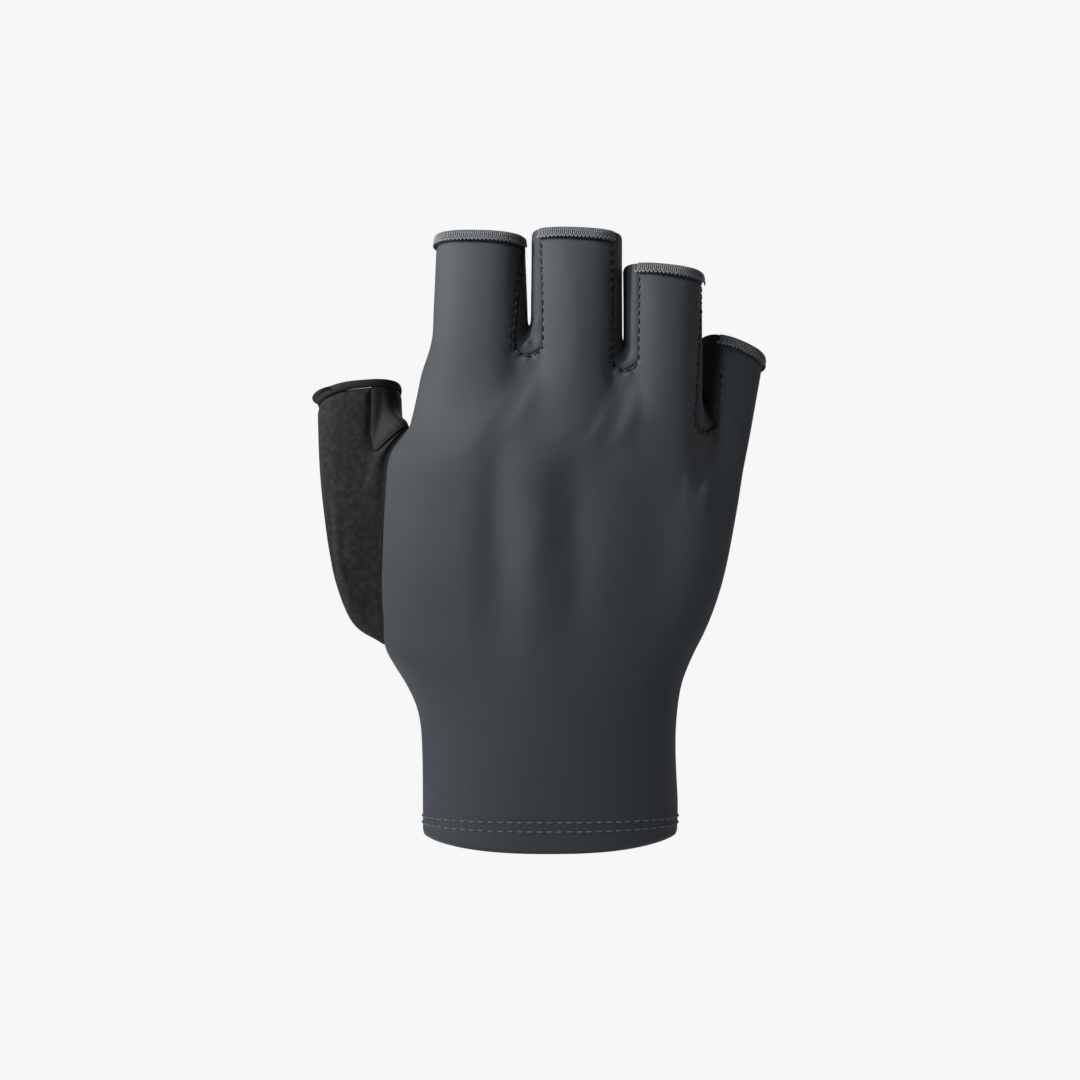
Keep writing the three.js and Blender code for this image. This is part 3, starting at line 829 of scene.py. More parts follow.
    def thumb_rim(self, turn: float) -> Point:
        """A point of the thumb's rim.

        Args:
            turn: round the rim, in radians.

        Returns:
            The point.
        """
        sizes = self.sizes
        side = self.hand_point(math.pi, sizes.thumb_crotch_height)[0]
        across = side - sizes.thumb_open
        across -= sizes.thumb_width / 2 * (1 - square_cos(turn, sizes.squareness))
        out = sizes.thumb_forward - sizes.thumb_depth / 2 * square_sin(turn, sizes.squareness)
        height = sizes.thumb_reach + sizes.thumb_slant * math.cos(turn)
        return np.array((across, out, height + sizes.thumb_tilt * math.sin(turn)))

    def thumb_point(self, root: tuple[Point, Point, Point], turn: float, share: float) -> Point:
        """A point of the thumb.

        Args:
            root: its place on the seam, with the normal and direction there.
            turn: where it comes out round the rim, in radians.
            share: from the seam (0) to the rim (1).

        Returns:
            The point.
        """
        point, normal, run = root
        thumb = self.thumb
        rim = self.thumb_rim(turn)
        span = float(np.linalg.norm(rim - point))
        leave = unit(np.array((-thumb.spread, 0.0, thumb.rise)) + normal * thumb.puff)
        leave = (leave - run * (thumb.away * float(leave @ run))) * (span * thumb.swell)
        arrive = np.array((0.0, 0.0, span * thumb.upright))
        return np.array([hermite(*ends, share) for ends in zip(point, rim, leave, arrive)])


@dataclass(frozen=True)
class Quads:
    """Cells of four corners: their corners, the piece of each and where each corner lies on the cloth."""

    points: Point
    faces: np.ndarray
    plies: np.ndarray
    cloth: np.ndarray

    def split(self) -> tuple[Quads, dict[tuple[int, int], int]]:
        """Rounds the cells and divides each into four.

        A corner keeps its number, and the four new cells of a cell follow each other.

        Returns:
            The new cells, and the new point on each edge, by the numbers of its ends.
        """
        faces, points = self.faces, self.points
        count = len(points)
        ends = np.sort(np.stack((faces, np.roll(faces, -1, 1)), 2).reshape(-1, 2), axis=1)
        pairs, which, shared = np.unique(ends, axis=0, return_inverse=True, return_counts=True)
        which = which.reshape(-1, 4)
        centres = points[faces].mean(1)
        middles = points[pairs].mean(1)
        sums = np.zeros_like(middles)
        np.add.at(sums, which.ravel(), np.repeat(centres, 4, axis=0))
        edge_points = np.where((shared == 2)[:, None], (2 * middles + sums) / 4, middles)
        valence = np.bincount(faces.ravel(), minlength=count)[:, None]
        round_faces = np.zeros_like(points)
        np.add.at(round_faces, faces.ravel(), np.repeat(centres, 4, axis=0))
        round_edges = np.zeros_like(points)
        np.add.at(round_edges, pairs.ravel(), np.repeat(middles, 2, axis=0))
        edge_count = np.bincount(pairs.ravel(), minlength=count)[:, None]
        moved = round_faces / valence + 2 * round_edges / edge_count + (valence - 3) * points
        moved /= valence
        border = pairs[shared == 1]
        along = np.zeros_like(points)
        np.add.at(along, border.ravel(), np.repeat(middles[shared == 1], 2, axis=0))
        rim = np.unique(border)
        moved[rim] = points[rim] / 2 + along[rim] / 4
        middle = count + len(pairs) + np.arange(len(faces))
        cloth_edges = (self.cloth + np.roll(self.cloth, -1, 1)) / 2
        cloth_middle = self.cloth.mean(1)
        new_faces, new_cloth = [], []
        for k in range(4):
            before = count + which[:, k - 1]
            new_faces.append(np.stack((faces[:, k], count + which[:, k], middle, before), 1))
            corners = (self.cloth[:, k], cloth_edges[:, k], cloth_middle, cloth_edges[:, k - 1])
            new_cloth.append(np.stack(corners, 1))
        fine = Quads(
            np.concatenate((moved, edge_points, centres)),
            np.stack(new_faces, 1).reshape(-1, 4),
            np.repeat(self.plies, 4),
            np.stack(new_cloth, 1).reshape(-1, 4, 2),
        )
        return fine, {tuple(pair): count + i for i, pair in enumerate(pairs.tolist())}

    def fitted(self, levels: int, rounds: int = 3) -> Quads:
        """The cells with their corners moved out, so that the rounded surface passes through them.

        Args:
            levels: how often the cells are divided to find where the surface runs.
            rounds: how often the corners are moved.

        Returns:
            The cells with moved corners.
        """
        target = self.points
        cage = self
        for _ in range(rounds):
            fine = cage
            for _ in range(levels):
                fine, _ = fine.split()
            missing = target - fine.points[: len(target)]
            cage = replace(cage, points=cage.points + missing)
        return cage


def normals_of(points: Point, faces: np.ndarray) -> Point:
    """The outward direction at each point, averaged over the cells round it.

    Args:
        points: the points.
        faces: the cells.

    Returns:
        A direction for each point.
    """
    corners = points[faces]
    across = np.cross(corners[:, 2] - corners[:, 0], corners[:, 3] - corners[:, 1])
    total = np.zeros_like(points)
    np.add.at(total, faces.ravel(), np.repeat(across, 4, axis=0))
    return unit_rows(total)


def border_of(faces: np.ndarray, count: int) -> np.ndarray:
    """The edges that only one of the cells has, each in that cell's direction.

    Args:
        faces: the cells.
        count: how many points there are.

    Returns:
        Pairs of point numbers.
    """
    edges = np.stack((faces, np.roll(faces, -1, 1)), 2).reshape(-1, 2)
    forward = edges[:, 0] * count + edges[:, 1]
    backward = edges[:, 1] * count + edges[:, 0]
    return edges[~np.isin(forward, backward)]


def chains_of(edges: np.ndarray) -> list[list[int]]:
    """Links directed edges into runs of point numbers, the longest first.

    Args:
        edges: pairs of point numbers.

    Returns:
        The runs.
    """
    following = {int(a): int(b) for a, b in edges}
    heads = [a for a in following if a not in set(following.values())]
    chains = []
    while following:
        start = heads.pop() if heads else next(iter(following))
        chain = [start]
        while chain[-1] in following:
            chain.append(following.pop(chain[-1]))
        chains.append(chain)
    return sorted(chains, key=len, reverse=True)


class Cage:
    """Collects the glove's cells. Cells that meet share their corners."""

    def __init__(self) -> None:
        """Starts with no cells."""
        self.points: list[Point] = []
        self.cells: list[tuple[int, ...]] = []
        self.plies: list[Ply] = []
        self.cloth: list[tuple[tuple[float, float], ...]] = []
        self._numbers: dict[tuple[int, ...], int] = {}

    def corner(self, point: Point) -> int:
        """The number of a corner; a corner that is there already keeps its number.

        Args:
            point: the corner.

        Returns:
            Its number.
        """
        key = tuple(int(round(value * 1000)) for value in point)
        if key not in self._numbers:
            self._numbers[key] = len(self.points)
            self.points.append(point)
        return self._numbers[key]

    def add(
        self,
        across: int,
        up: int,
        place: Callable[[int, int], Point],
        ply: Callable[[int, int], Ply | None],
        cloth: Callable[[int, int, Point], tuple[float, float]],
    ) -> None:
        """Adds a field of cells.

        Args:
            across: the cells in the first direction.
            up: the cells in the second, which turns from the first round the outward direction.
            place: a corner's point.
            ply: a cell's piece, or None to leave the cell out.
            cloth: where a corner lies on the cloth, in mm.
        """
        points = [[place(u, v) for v in range(up + 1)] for u in range(across + 1)]
        numbers = [[self.corner(point) for point in row] for row in points]
        for u in range(across):
            for v in range(up):
                piece = ply(u, v)
                if piece is None:
                    continue
                corners = ((u, v), (u + 1, v), (u + 1, v + 1), (u, v + 1))
                self.cells.append(tuple(numbers[i][j] for i, j in corners))
                self.cloth.append(tuple(cloth(i, j, points[i][j]) for i, j in corners))
                self.plies.append(piece)

    def quads(self) -> Quads:
        """The cells as arrays.

        Returns:
            The cells, each piece as its place in the list of pieces.
        """
        order = list(Ply)
        plies = np.array([order.index(ply) for ply in self.plies])
        return Quads(np.array(self.points), np.array(self.cells), plies, np.array(self.cloth))


@dataclass(frozen=True)
class Skin:
    """The glove's refined outer surface. Coarse cells are those one step before the last."""

    fine: Quads
    coarse: Quads
    edge_points: dict[tuple[int, int], int]
    normals: Point

    @classmethod
    def refined(cls, quads: Quads, levels: int) -> Skin:
        """Rounds the cells and divides them a number of times.

        Args:
            quads: the cells.
            levels: how often each is divided.

        Returns:
            The skin.
        """
        coarse = quads.fitted(2)
        for _ in range(levels - 1):
            coarse, _ = coarse.split()
        fine, edge_points = coarse.split()
        return cls(fine, coarse, edge_points, normals_of(fine.points, fine.faces))

    def seam(self, inside: Sequence[Ply], outside: Sequence[Ply]) -> list[np.ndarray]:
        """The seams between two groups of pieces.

        Args:
            inside: the pieces on the seam's left, seen from outside.
            outside: the pieces on its right.

        Returns:
            Runs of point numbers, the longest first.
        """
        order = list(Ply)
        count = len(self.fine.points)
        left = self.fine.faces[np.isin(self.fine.plies, [order.index(p) for p in inside])]
        right = self.fine.faces[np.isin(self.fine.plies, [order.index(p) for p in outside])]
        edges = border_of(left, count)
        other = border_of(right, count)
        keys = edges[:, 0] * count + edges[:, 1]
        shared = edges[np.isin(keys, other[:, 1] * count + other[:, 0])]
        return [np.array(chain) for chain in chains_of(shared)]

    def open_edges(self, plies: Sequence[Ply]) -> np.ndarray:
        """The edges of some pieces that lie on no other piece's.

        Args:
            plies: the pieces.

        Returns:
            Pairs of point numbers, with the pieces on their left.
        """
        order = list(Ply)
        count = len(self.fine.points)
        own = np.isin(self.fine.plies, [order.index(p) for p in plies])
        every = border_of(self.fine.faces, count)
        mine = border_of(self.fine.faces[own], count)
        keys = every[:, 0] * count + every[:, 1]
        return mine[np.isin(mine[:, 0] * count + mine[:, 1], keys)]

    def rim(self, ply: Ply) -> list[np.ndarray]:
        """The open edge of a piece, as runs of point numbers."""
        return [np.array(chain) for chain in chains_of(self.open_edges([ply]))]


class SkinMaker:
    """Lays the glove's cells out over its form."""

    HAND_RADIUS = 32.0  # the cloth's width counts round a hand of this radius, in mm
    FINGER_RADIUS = 10.0

    def __init__(self, form: Form) -> None:
        """Starts an empty skin over a form."""
        self.form = form
        self.cage = Cage()

    def skin(self, levels: int) -> Skin:
        """The glove's whole skin, without the hem's inner ply.

        Args:
            levels: how often each cell is divided.

        Returns:
            The skin.
        """
        self._add_body()
        for order in range(self.form.last + 1):
            self._add_finger(order)
        for slot in range(self.form.last):
            self._add_slot_foot(slot)
        self._add_thumb()
        return Skin.refined(self.cage.quads(), levels)

    def _even(self, column: int) -> float:
        """The angle of a column if all stood evenly, running on past the last one.

        Args:
            column: the number of the column.

        Returns:
            The angle in radians.
        """
        columns = self.form.columns
        if column >= len(columns):
            return self.form.side - math.pi
        return columns[column].even

    def _add_body(self) -> None:
        """Adds the back, the palm and the wrist, with the hole for the thumb."""
        form = self.form
        total, rows = len(form.columns), form.cells

        def ply(u: int, v: int) -> Ply | None:
            """The piece of a cell.

            Args:
                u: the column.
                v: the row.

            Returns:
                The piece, or None in the hole for the thumb.
            """
            thumb = u < form.thumb.back_column or u >= total - form.thumb.front_columns
            if thumb and rows.cuff_rows <= v < rows.crotch_row:
                return None
            if form.columns[u].side is Side.BACK:
                return Ply.BACK
            return Ply.WRIST if v < rows.cuff_rows else Ply.PALM

        def cloth(u: int, _v: int, point: Point) -> tuple[float, float]:
            """Round the hand and up it."""
            return -self.HAND_RADIUS * self._even(u), float(point[2])

        self.cage.add(total, rows.body_rows, form.body_vertex, ply, cloth)

    def _first_column(self, order: int, side: Side) -> int:
        """The number of a finger's first column on one side of the hand.

        Args:
            order: the finger, from 0 for the index finger.
            side: the face of the hand.

        Returns:
            The number.
        """
        return next(
            i for i, c in enumerate(self.form.columns) if c.finger == order and c.side is side
        )

    def _add_finger_side(
        self,
        order: int,
        start: tuple[float, float],
        end: tuple[float, float],
        count: int,
        plies: tuple[Ply, Ply],
        first: int = -1,
    ) -> None:
        """Adds the strip of a finger between two seams, from its foot to its rim.

        Args:
            order: the finger.
            start: the first seam's angles at the foot and at the rim, in radians.
            end: the last one's.
            count: the cells between them.
            plies: the strip's piece, and the piece of its last row.
            first: the body's column below it, or -1 where it stands on a web.
        """
        form = self.form
        rows = form.cells.finger_rows

        def place(u: int, v: int) -> Point:
            """A corner of the strip.

            Args:
                u: how many cells along from the first seam.
                v: how many cells up from the foot.

            Returns:
                The point.
            """
            up = min(v / rows, 1.0) ** form.sizes.seam_bend
            angle = lerp(lerp(*start, up), lerp(*end, up), u / count)
            rim = form.finger_rim(order, angle)
            below = rim - form.sizes.binding_height
            height = rim if v > rows else lerp(form.finger_foot(order, angle), below, v / rows)
            return form.finger_point(order, angle, height)

        def cloth(u: int, _v: int, point: Point) -> tuple[float, float]:
            """Round the finger and up it.

            Args:
                u: how many cells along from the first seam.
                _v: how many cells up; not used.
                point: the corner.

            Returns:
                Its place on the cloth in mm.
            """
            if first >= 0:
                return -self.HAND_RADIUS * self._even(first + u), float(point[2])
            return self.FINGER_RADIUS * lerp(start[0], end[0], u / count), float(point[2])

        self.cage.add(count, rows + 1, place, lambda _u, v: plies[v == rows], cloth)

    def _add_finger(self, order: int) -> None:
        """Adds one finger: its back with its bound edge, its palm side and its gusset walls.

        Args:
            order: the finger, from 0 for the index finger.
        """
        form, cells = self.form, self.form.cells
        finger = form.fingers[order]
        is_first, is_last = order == 0, order == form.last
        outer = is_first or is_last
        left = (math.pi - form.seam, math.pi - math.radians(finger.left))
        right = (form.seam, math.radians(finger.right))
        if is_first:
            left = (math.pi + form.side,) * 2
        if is_last:
            right = (-form.side,) * 2
        count = cells.outer if outer else cells.back
        column = self._first_column(order, Side.BACK)
        self._add_finger_side(order, left, right, count, (Ply.BACK, FINGER_EDGES[order]), column)
        palm_right = (-form.side if is_last else -form.seam,) * 2
        palm_left = ((form.side if is_first else form.seam) - math.pi,) * 2
        count = cells.outer if outer else cells.front
        column = self._first_column(order, Side.PALM)
        self._add_finger_side(order, palm_right, palm_left, count, (Ply.PALM, Ply.PALM), column)
        if not is_last:
            self._add_finger_side(order, right, palm_right, cells.gusset, (GUSSETS[order],) * 2)
        if not is_first:
            start = (math.pi + form.seam,) * 2
            self._add_finger_side(order, start, left, cells.gusset, (GUSSETS[order - 1],) * 2)

    def _add_slot_foot(self, slot: int) -> None:
        """Adds the web at the foot of a finger slot.

        Args:
            slot: the slot, from 0 beside the index finger.
        """
        form, cells = self.form, self.form.cells

        def place(u: int, v: int) -> Point:
            """A corner of the web."""
            angle = lerp(form.seam, -form.seam, v / cells.gusset)
            return form.slot_point(slot, u / cells.slot, angle, 0.0)

        def cloth(_u: int, v: int, point: Point) -> tuple[float, float]:
            """Round from the back to the palm, and across."""
            return self.FINGER_RADIUS * lerp(form.seam, -form.seam, v / cells.gusset), float(point[0])

        self.cage.add(cells.slot, cells.gusset, place, lambda _u, _v: GUSSETS[slot], cloth)

    def _add_thumb(self) -> None:
        """Adds the thumb's tube from its seam to its rim, with its smooth patch and its edge."""
        form, thumb = self.form, self.form.thumb
        seam = form.thumb_seam()
        end = math.radians(thumb.patch_end)
        middle = (math.radians(thumb.patch_start) + end) / 2

        def from_patch(turn: float) -> float:
            """How far from the patch's middle a place is, 1 at its sides."""
            nearest = turn + 2 * math.pi if turn < -math.pi else turn
            return abs(nearest - middle) / (end - middle)

        def place(u: int, v: int) -> Point:
            """A corner of the tube.

            Args:
                u: how many cells along the seam.
                v: how many cells up from the seam.

            Returns:
                The point.
            """
            turn = form.thumb_turn(u)
            root = seam[u % len(seam)]
            rim = form.thumb_rim(turn)
            lower = lerp(thumb.patch_foot, thumb.patch_shoulder, min(from_patch(turn), 1.0) ** 3)
            lower += form.sizes.thumb_crotch_height
            foot = max((lower - root[0][2]) / (rim[2] - root[0][2]), thumb.patch_margin)
            foot = lerp(foot, thumb.patch_level, smoothstep(from_patch(turn), 1.0, thumb.patch_blend))
            span = float(np.linalg.norm(rim - root[0]))
            if v > thumb.rows:
                return form.thumb_point(root, turn, 1.0)
            if v < thumb.foot_rows:
                return form.thumb_point(root, turn, foot * v / thumb.foot_rows)
            above = (v - thumb.foot_rows) / (thumb.rows - thumb.foot_rows)
            last = 1 - form.sizes.thumb_binding_height / span
            return form.thumb_point(root, turn, lerp(foot, last, above))

        def ply(u: int, v: int) -> Ply:
            """The piece of a cell.

            Args:
                u: how many cells along the seam.
                v: how many cells up from the seam.

            Returns:
                The piece.
            """
            if v == thumb.rows:
                return Ply.THUMB_EDGE
            turn = (form.thumb_turn(u) + form.thumb_turn(u + 1)) / 2
            return Ply.PATCH if from_patch(turn) < 1 and v >= thumb.foot_rows else Ply.THUMB

        def cloth(u: int, _v: int, point: Point) -> tuple[float, float]:
            """Round the thumb and up it."""
            return -self.FINGER_RADIUS * form.thumb_turn(u), float(point[2])

        self.cage.add(len(seam), thumb.rows + 1, place, ply, cloth)


@dataclass(frozen=True)
class Edge:
    """How a piece of cloth ends at its border, in mm.

    gap is its share of the seam's gap, tuck how deep the border sinks, reach how far in that shows.
    """

    gap: float = 0.06
    tuck: float = 0.5
    reach: float = 0.9

    def sunk(self, away: np.ndarray) -> np.ndarray:
        """How deep the cloth lies at some distances from the border."""
        return self.tuck * np.exp(-((away / self.reach) ** 2))


@dataclass(frozen=True)
class Pucker:
    """Small gathers of the cloth beside a stitched seam, in mm."""

    pitch: float
    deep: float
    away: float = 1.0
    wide: float = 0.8


@dataclass(frozen=True)
class Swell:
    """A broad low swelling of the cloth, or a hollow where high is below 0, in mm."""

    across: float
    height: float
    wide: float
    long: float
    high: float

    def rise(self, points: Point) -> np.ndarray:
        """How far the cloth stands up at some points.

        Args:
            points: the points in mm.

        Returns:
            The height over the cloth at each, in mm.
        """
        across = (points[:, 0] - self.across) / self.wide
        along = (points[:, 2] - self.height) / self.long
        return self.high * np.exp(-(across**2) - along**2)


@dataclass(frozen=True)
class Fold:
    """A soft fold that runs over the cloth between two places, across and up, in mm."""

    start: tuple[float, float]
    end: tuple[float, float]
    wide: float
    high: float

    def rise(self, points: Point) -> np.ndarray:
        """How far the cloth stands up at some points.

        Args:
            points: the points in mm.

        Returns:
            The height over the cloth at each, in mm.
        """
        start = np.array(self.start)
        run = np.array(self.end) - start
        flat = points[:, (0, 2)] - start
        share = np.clip(flat @ run / (run @ run), 0.0, 1.0)
        away = np.linalg.norm(flat - share[:, None] * run, axis=1)
        return self.high * np.exp(-((away / self.wide) ** 2))


class Cloth:
    """One piece of the glove cut from the skin, as points in millimetres."""

    def __init__(self, skin: Skin, ply: Ply, wall: float, proud: float = 0.0) -> None:
        """Takes a piece's cells out of the skin.

        Args:
            skin: the glove's skin.
            ply: the piece.
            wall: its thickness in mm.
            proud: how far its outer face stands over the skin.
        """
        self.skin = skin
        self.ply = ply
        self.wall = wall
        self.proud = proud
        order = list(Ply).index(ply)
        self.own = skin.fine.plies == order
        self.faces = skin.fine.faces[self.own]
        self.used = np.unique(self.faces)
        self.points = skin.fine.points[self.used]
        self.normals = skin.normals[self.used]
        self.lift = np.zeros(len(self.used))
        self.slide = np.zeros_like(self.points)
        self.border = border_of(self.faces, len(skin.fine.points))
        self._place = {int(n): i for i, n in enumerate(self.used)}
        self._border_field()

    def _border_field(self) -> None:
        """Works out each point's distance from the border and the nearest place along it."""
        points = self.skin.fine.points
        numbers: list[int] = []
        along: list[float] = []
        for chain in chains_of(self.border):
            numbers += chain
            along += lengths_along(points[chain]).tolist()
        tree = tree_of(points[numbers])
        found = [tree.find(point) for point in self.points]
        self.away = np.array([distance for _, _, distance in found])
        self.along = np.array([along[i] for _, i, _ in found])
        self.nearest = np.array([numbers[i] for _, i, _ in found])

    def _away_from(self, numbers: list[int]) -> np.ndarray:
        """The distance of each point from the nearest of some points of the skin."""
        tree = tree_of(self.skin.fine.points[numbers])
        return np.array([tree.find(point)[2] for point in self.points])

    def finish_border(self, edge: Edge, rim: Edge = Edge(tuck=0.2, reach=0.35)) -> None:
        """Draws the border back from its neighbours and tucks it under.

        Args:
            edge: how the cloth ends at its seams.
            rim: how it ends where nothing is sewn to it.
        """
        points, normals = self.skin.fine.points, self.skin.normals
        opened = {tuple(sorted(pair)) for pair in self.skin.open_edges([self.ply]).tolist()}
        seams = [pair for pair in self.border.tolist() if tuple(sorted(pair)) not in opened]
        sums = np.zeros_like(self.points)
        for start, end in seams:
            run = points[end] - points[start]
            for number in (start, end):
                sums[self._place[number]] += unit(np.cross(normals[number], run))
        length = np.maximum(np.linalg.norm(sums, axis=1), 0.7)[:, None]
        self.slide += sums / length * edge.gap
        depth = edge.sunk(self._away_from(sorted({n for pair in seams for n in pair})))
        if opened:
            bare = rim.sunk(self._away_from(sorted({n for pair in opened for n in pair})))
            depth = np.maximum(depth, bare)
        self.lift -= depth

    def gather(self, pucker: Pucker, seams: Iterable[np.ndarray]) -> None:
        """Gathers the cloth beside some of its seams.

        Args:
            pucker: the gathers.
            seams: runs of point numbers.
        """
        chosen = np.concatenate([np.asarray(seam) for seam in seams])
        near = np.isin(self.nearest, chosen)
        wave = np.cos(2 * math.pi * self.along / pucker.pitch)
        fade = np.exp(-(((self.away - pucker.away) / pucker.wide) ** 2))
        self.lift += np.where(near, pucker.deep * wave * fade, 0.0)

    def shape(self, reliefs: Iterable[Swell | Fold], fade: float) -> None:
        """Adds swellings and folds, which fade out over the last fade millimetres to the border.

        Args:
            reliefs: the swellings and folds.
            fade: the width in mm over which they fade.
        """
        share = 1 - np.exp(-((self.away / fade) ** 2))
        for relief in reliefs:
            self.lift += share * relief.rise(self.points)

    def mesh(self) -> bpy.types.Mesh:
        """The piece as a closed mesh in metres, with a map of its cloth.

        Returns:
            The mesh.
        """
        count = len(self.used)
        slid = self.points + self.slide
        outer = slid + self.normals * (self.proud + self.lift)[:, None]
        shared = len(self.skin.coarse.points)
        inner_numbers = self.used[self.used < shared]
        rows = np.searchsorted(self.used, inner_numbers)
        depth = self.proud - self.wall + np.maximum(self.lift[rows], -0.3) * 0.8
        inner = slid[rows] + self.normals[rows] * depth[:, None]
        below = {int(n): count + i for i, n in enumerate(inner_numbers)}
        faces = [[self._place[n] for n in face] for face in self.faces.tolist()]
        cloth = [tuple(c) for c in self.skin.fine.cloth[self.own].reshape(-1, 2)]
        coarse = self.skin.coarse
        own = coarse.plies == list(Ply).index(self.ply)
        coarse_faces = coarse.faces[own]
        faces += [[below[n] for n in face[::-1]] for face in coarse_faces.tolist()]
        cloth += [tuple(c) for c in coarse.cloth[own][:, ::-1].reshape(-1, 2)]
        for start, end in border_of(coarse_faces, shared).tolist():
            middle = self.skin.edge_points[(min(start, end), max(start, end))]
            ring = [self._place[end], self._place[middle], self._place[start]]
            faces.append(ring + [below[start], below[end]])
            cloth += [(0.0, 0.0)] * 5
        return cloth_mesh(self.ply.value, np.concatenate((outer, inner)), faces, cloth)


@dataclass
class ThreadWork:
    """Thread laid along paths, gathered into one mesh. Points in millimetres."""

    sides: int = 6
    points: list[Point] = field(default_factory=list)
    faces: list[list[int]] = field(default_factory=list)
    cloth: list[tuple[float, float]] = field(default_factory=list)

    def lay(self, path: Point, out: Point, radius: float, ends: float = 0.5) -> None:
        """Lays one round thread along a path.

        Args:
            path: its points, in order.
            out: the direction out of the cloth at each.
            radius: the thread's radius.
            ends: the radius at its two ends, as a share.
        """
        runs = unit_rows(np.gradient(path, axis=0))
        side = unit_rows(np.cross(runs, out))
        up = np.cross(side, runs)
        radii = np.full(len(path), radius)
        radii[[0, -1]] *= ends
        angles = 2 * math.pi * np.arange(self.sides) / self.sides
        rings = np.cos(angles)[None, :, None] * side[:, None]
        rings = rings + np.sin(angles)[None, :, None] * up[:, None]
        rings = path[:, None] + rings * radii[:, None, None]
        caps = path[[0, -1]] + np.array([-runs[0], runs[-1]]) * radius * ends
        first = sum(len(points) for points in self.points)
        self.points.append(np.concatenate((rings.reshape(-1, 3), caps)))
        length = lengths_along(path)
        sides, last = self.sides, len(path) - 1

        def number(ring: int, around: int) -> int:
            """The number of a point on a ring."""
            return first + ring * sides + around % sides

        for ring in range(last):
            for a in range(sides):
                corners = [(ring, a), (ring, a + 1), (ring + 1, a + 1), (ring + 1, a)]
                self.faces.append([number(*corner) for corner in corners])
                self.cloth += [(length[r], 2 * radius * math.pi * s / sides) for r, s in corners]
        start, end = first + len(path) * sides, first + len(path) * sides + 1
        for a in range(sides):
            self.faces.append([start, number(0, a + 1), number(0, a)])
            self.faces.append([end, number(last, a), number(last, a + 1)])
            self.cloth += [(0.0, 0.0)] * 6

    def mesh(self, name: str) -> bpy.types.Mesh:
        """The threads as one mesh in metres."""
        return cloth_mesh(name, np.concatenate(self.points), self.faces, self.cloth)


@dataclass(frozen=True)
class Line:
    """A smooth line on the skin in millimetres, with the way out of the cloth and the way aside."""

    points: Point
    out: Point
    aside: Point

    @classmethod
    def along(cls, skin: Skin, chain: np.ndarray, step: float = 0.2, smooth: int = 4) -> Line:
        """A line along a seam, evenly spaced. The way aside points into the piece on its left.

        Args:
            skin: the glove's skin.
            chain: the seam's point numbers.
            step: the spacing in mm.
            smooth: how many times the line is evened out.

        Returns:
            The line.
        """
        points, out = skin.fine.points[chain], skin.normals[chain]
        length = lengths_along(points)
        places = np.linspace(0.0, length[-1], max(int(length[-1] / step), 4))
        points, out = at_places(points, length, places), at_places(out, length, places)
        for _ in range(smooth):
            points[1:-1] = (points[:-2] + 2 * points[1:-1] + points[2:]) / 4
            out[1:-1] = (out[:-2] + 2 * out[1:-1] + out[2:]) / 4
        out = unit_rows(out)
        return cls(points, out, unit_rows(np.cross(out, np.gradient(points, axis=0))))

    @property
    def step(self) -> float:
        """The spacing of its points."""
        return float(np.linalg.norm(np.diff(self.points, axis=0), axis=1).mean())

    def moved(self, aside: float) -> Line:
        """The line moved aside, in mm."""
        return replace(self, points=self.points + self.aside * aside)

    def laid_on(self, surface: BVHTree) -> Line:
        """The line dropped on to a surface.

        Args:
            surface: the surface, in metres.

        Returns:
            The line on it.
        """
        points, out = self.points.copy(), self.out.copy()
        for i, point in enumerate(points):
            found, normal, _, _ = surface.find_nearest(Vector(point * MM))
            if found is not None:
                points[i] = np.array(found) / MM
                if float(np.array(normal) @ out[i]) > 0:
                    out[i] = np.array(normal)
        return replace(self, points=points, out=out)


@dataclass(frozen=True)
class StitchRow:
    """A row of single stitches, in mm."""

    pitch: float
    dash: float
    radius: float
    sink: float = 0.5

    def sew(self, work: ThreadWork, line: Line, start: float = 0.0) -> None:
        """Sews the row along a line.

        Args:
            work: the thread work that takes the stitches.
            line: the line on the cloth's surface.
            start: where the first stitch begins.
        """
        step = line.step
        count = len(line.points)
        reach = max(int(round(self.dash / step)), 3)
        place = start
        while int(place / step) + reach < count:
            first = int(place / step)
            chosen = slice(first, first + reach + 1)
            bend = np.sin(np.linspace(0.0, math.pi, reach + 1)) ** 0.5
            height = self.radius * ((1 + self.sink) * bend - self.sink)
            out = line.out[chosen]
            work.lay(line.points[chosen] + out * height[:, None], out, self.radius)
            place += self.pitch


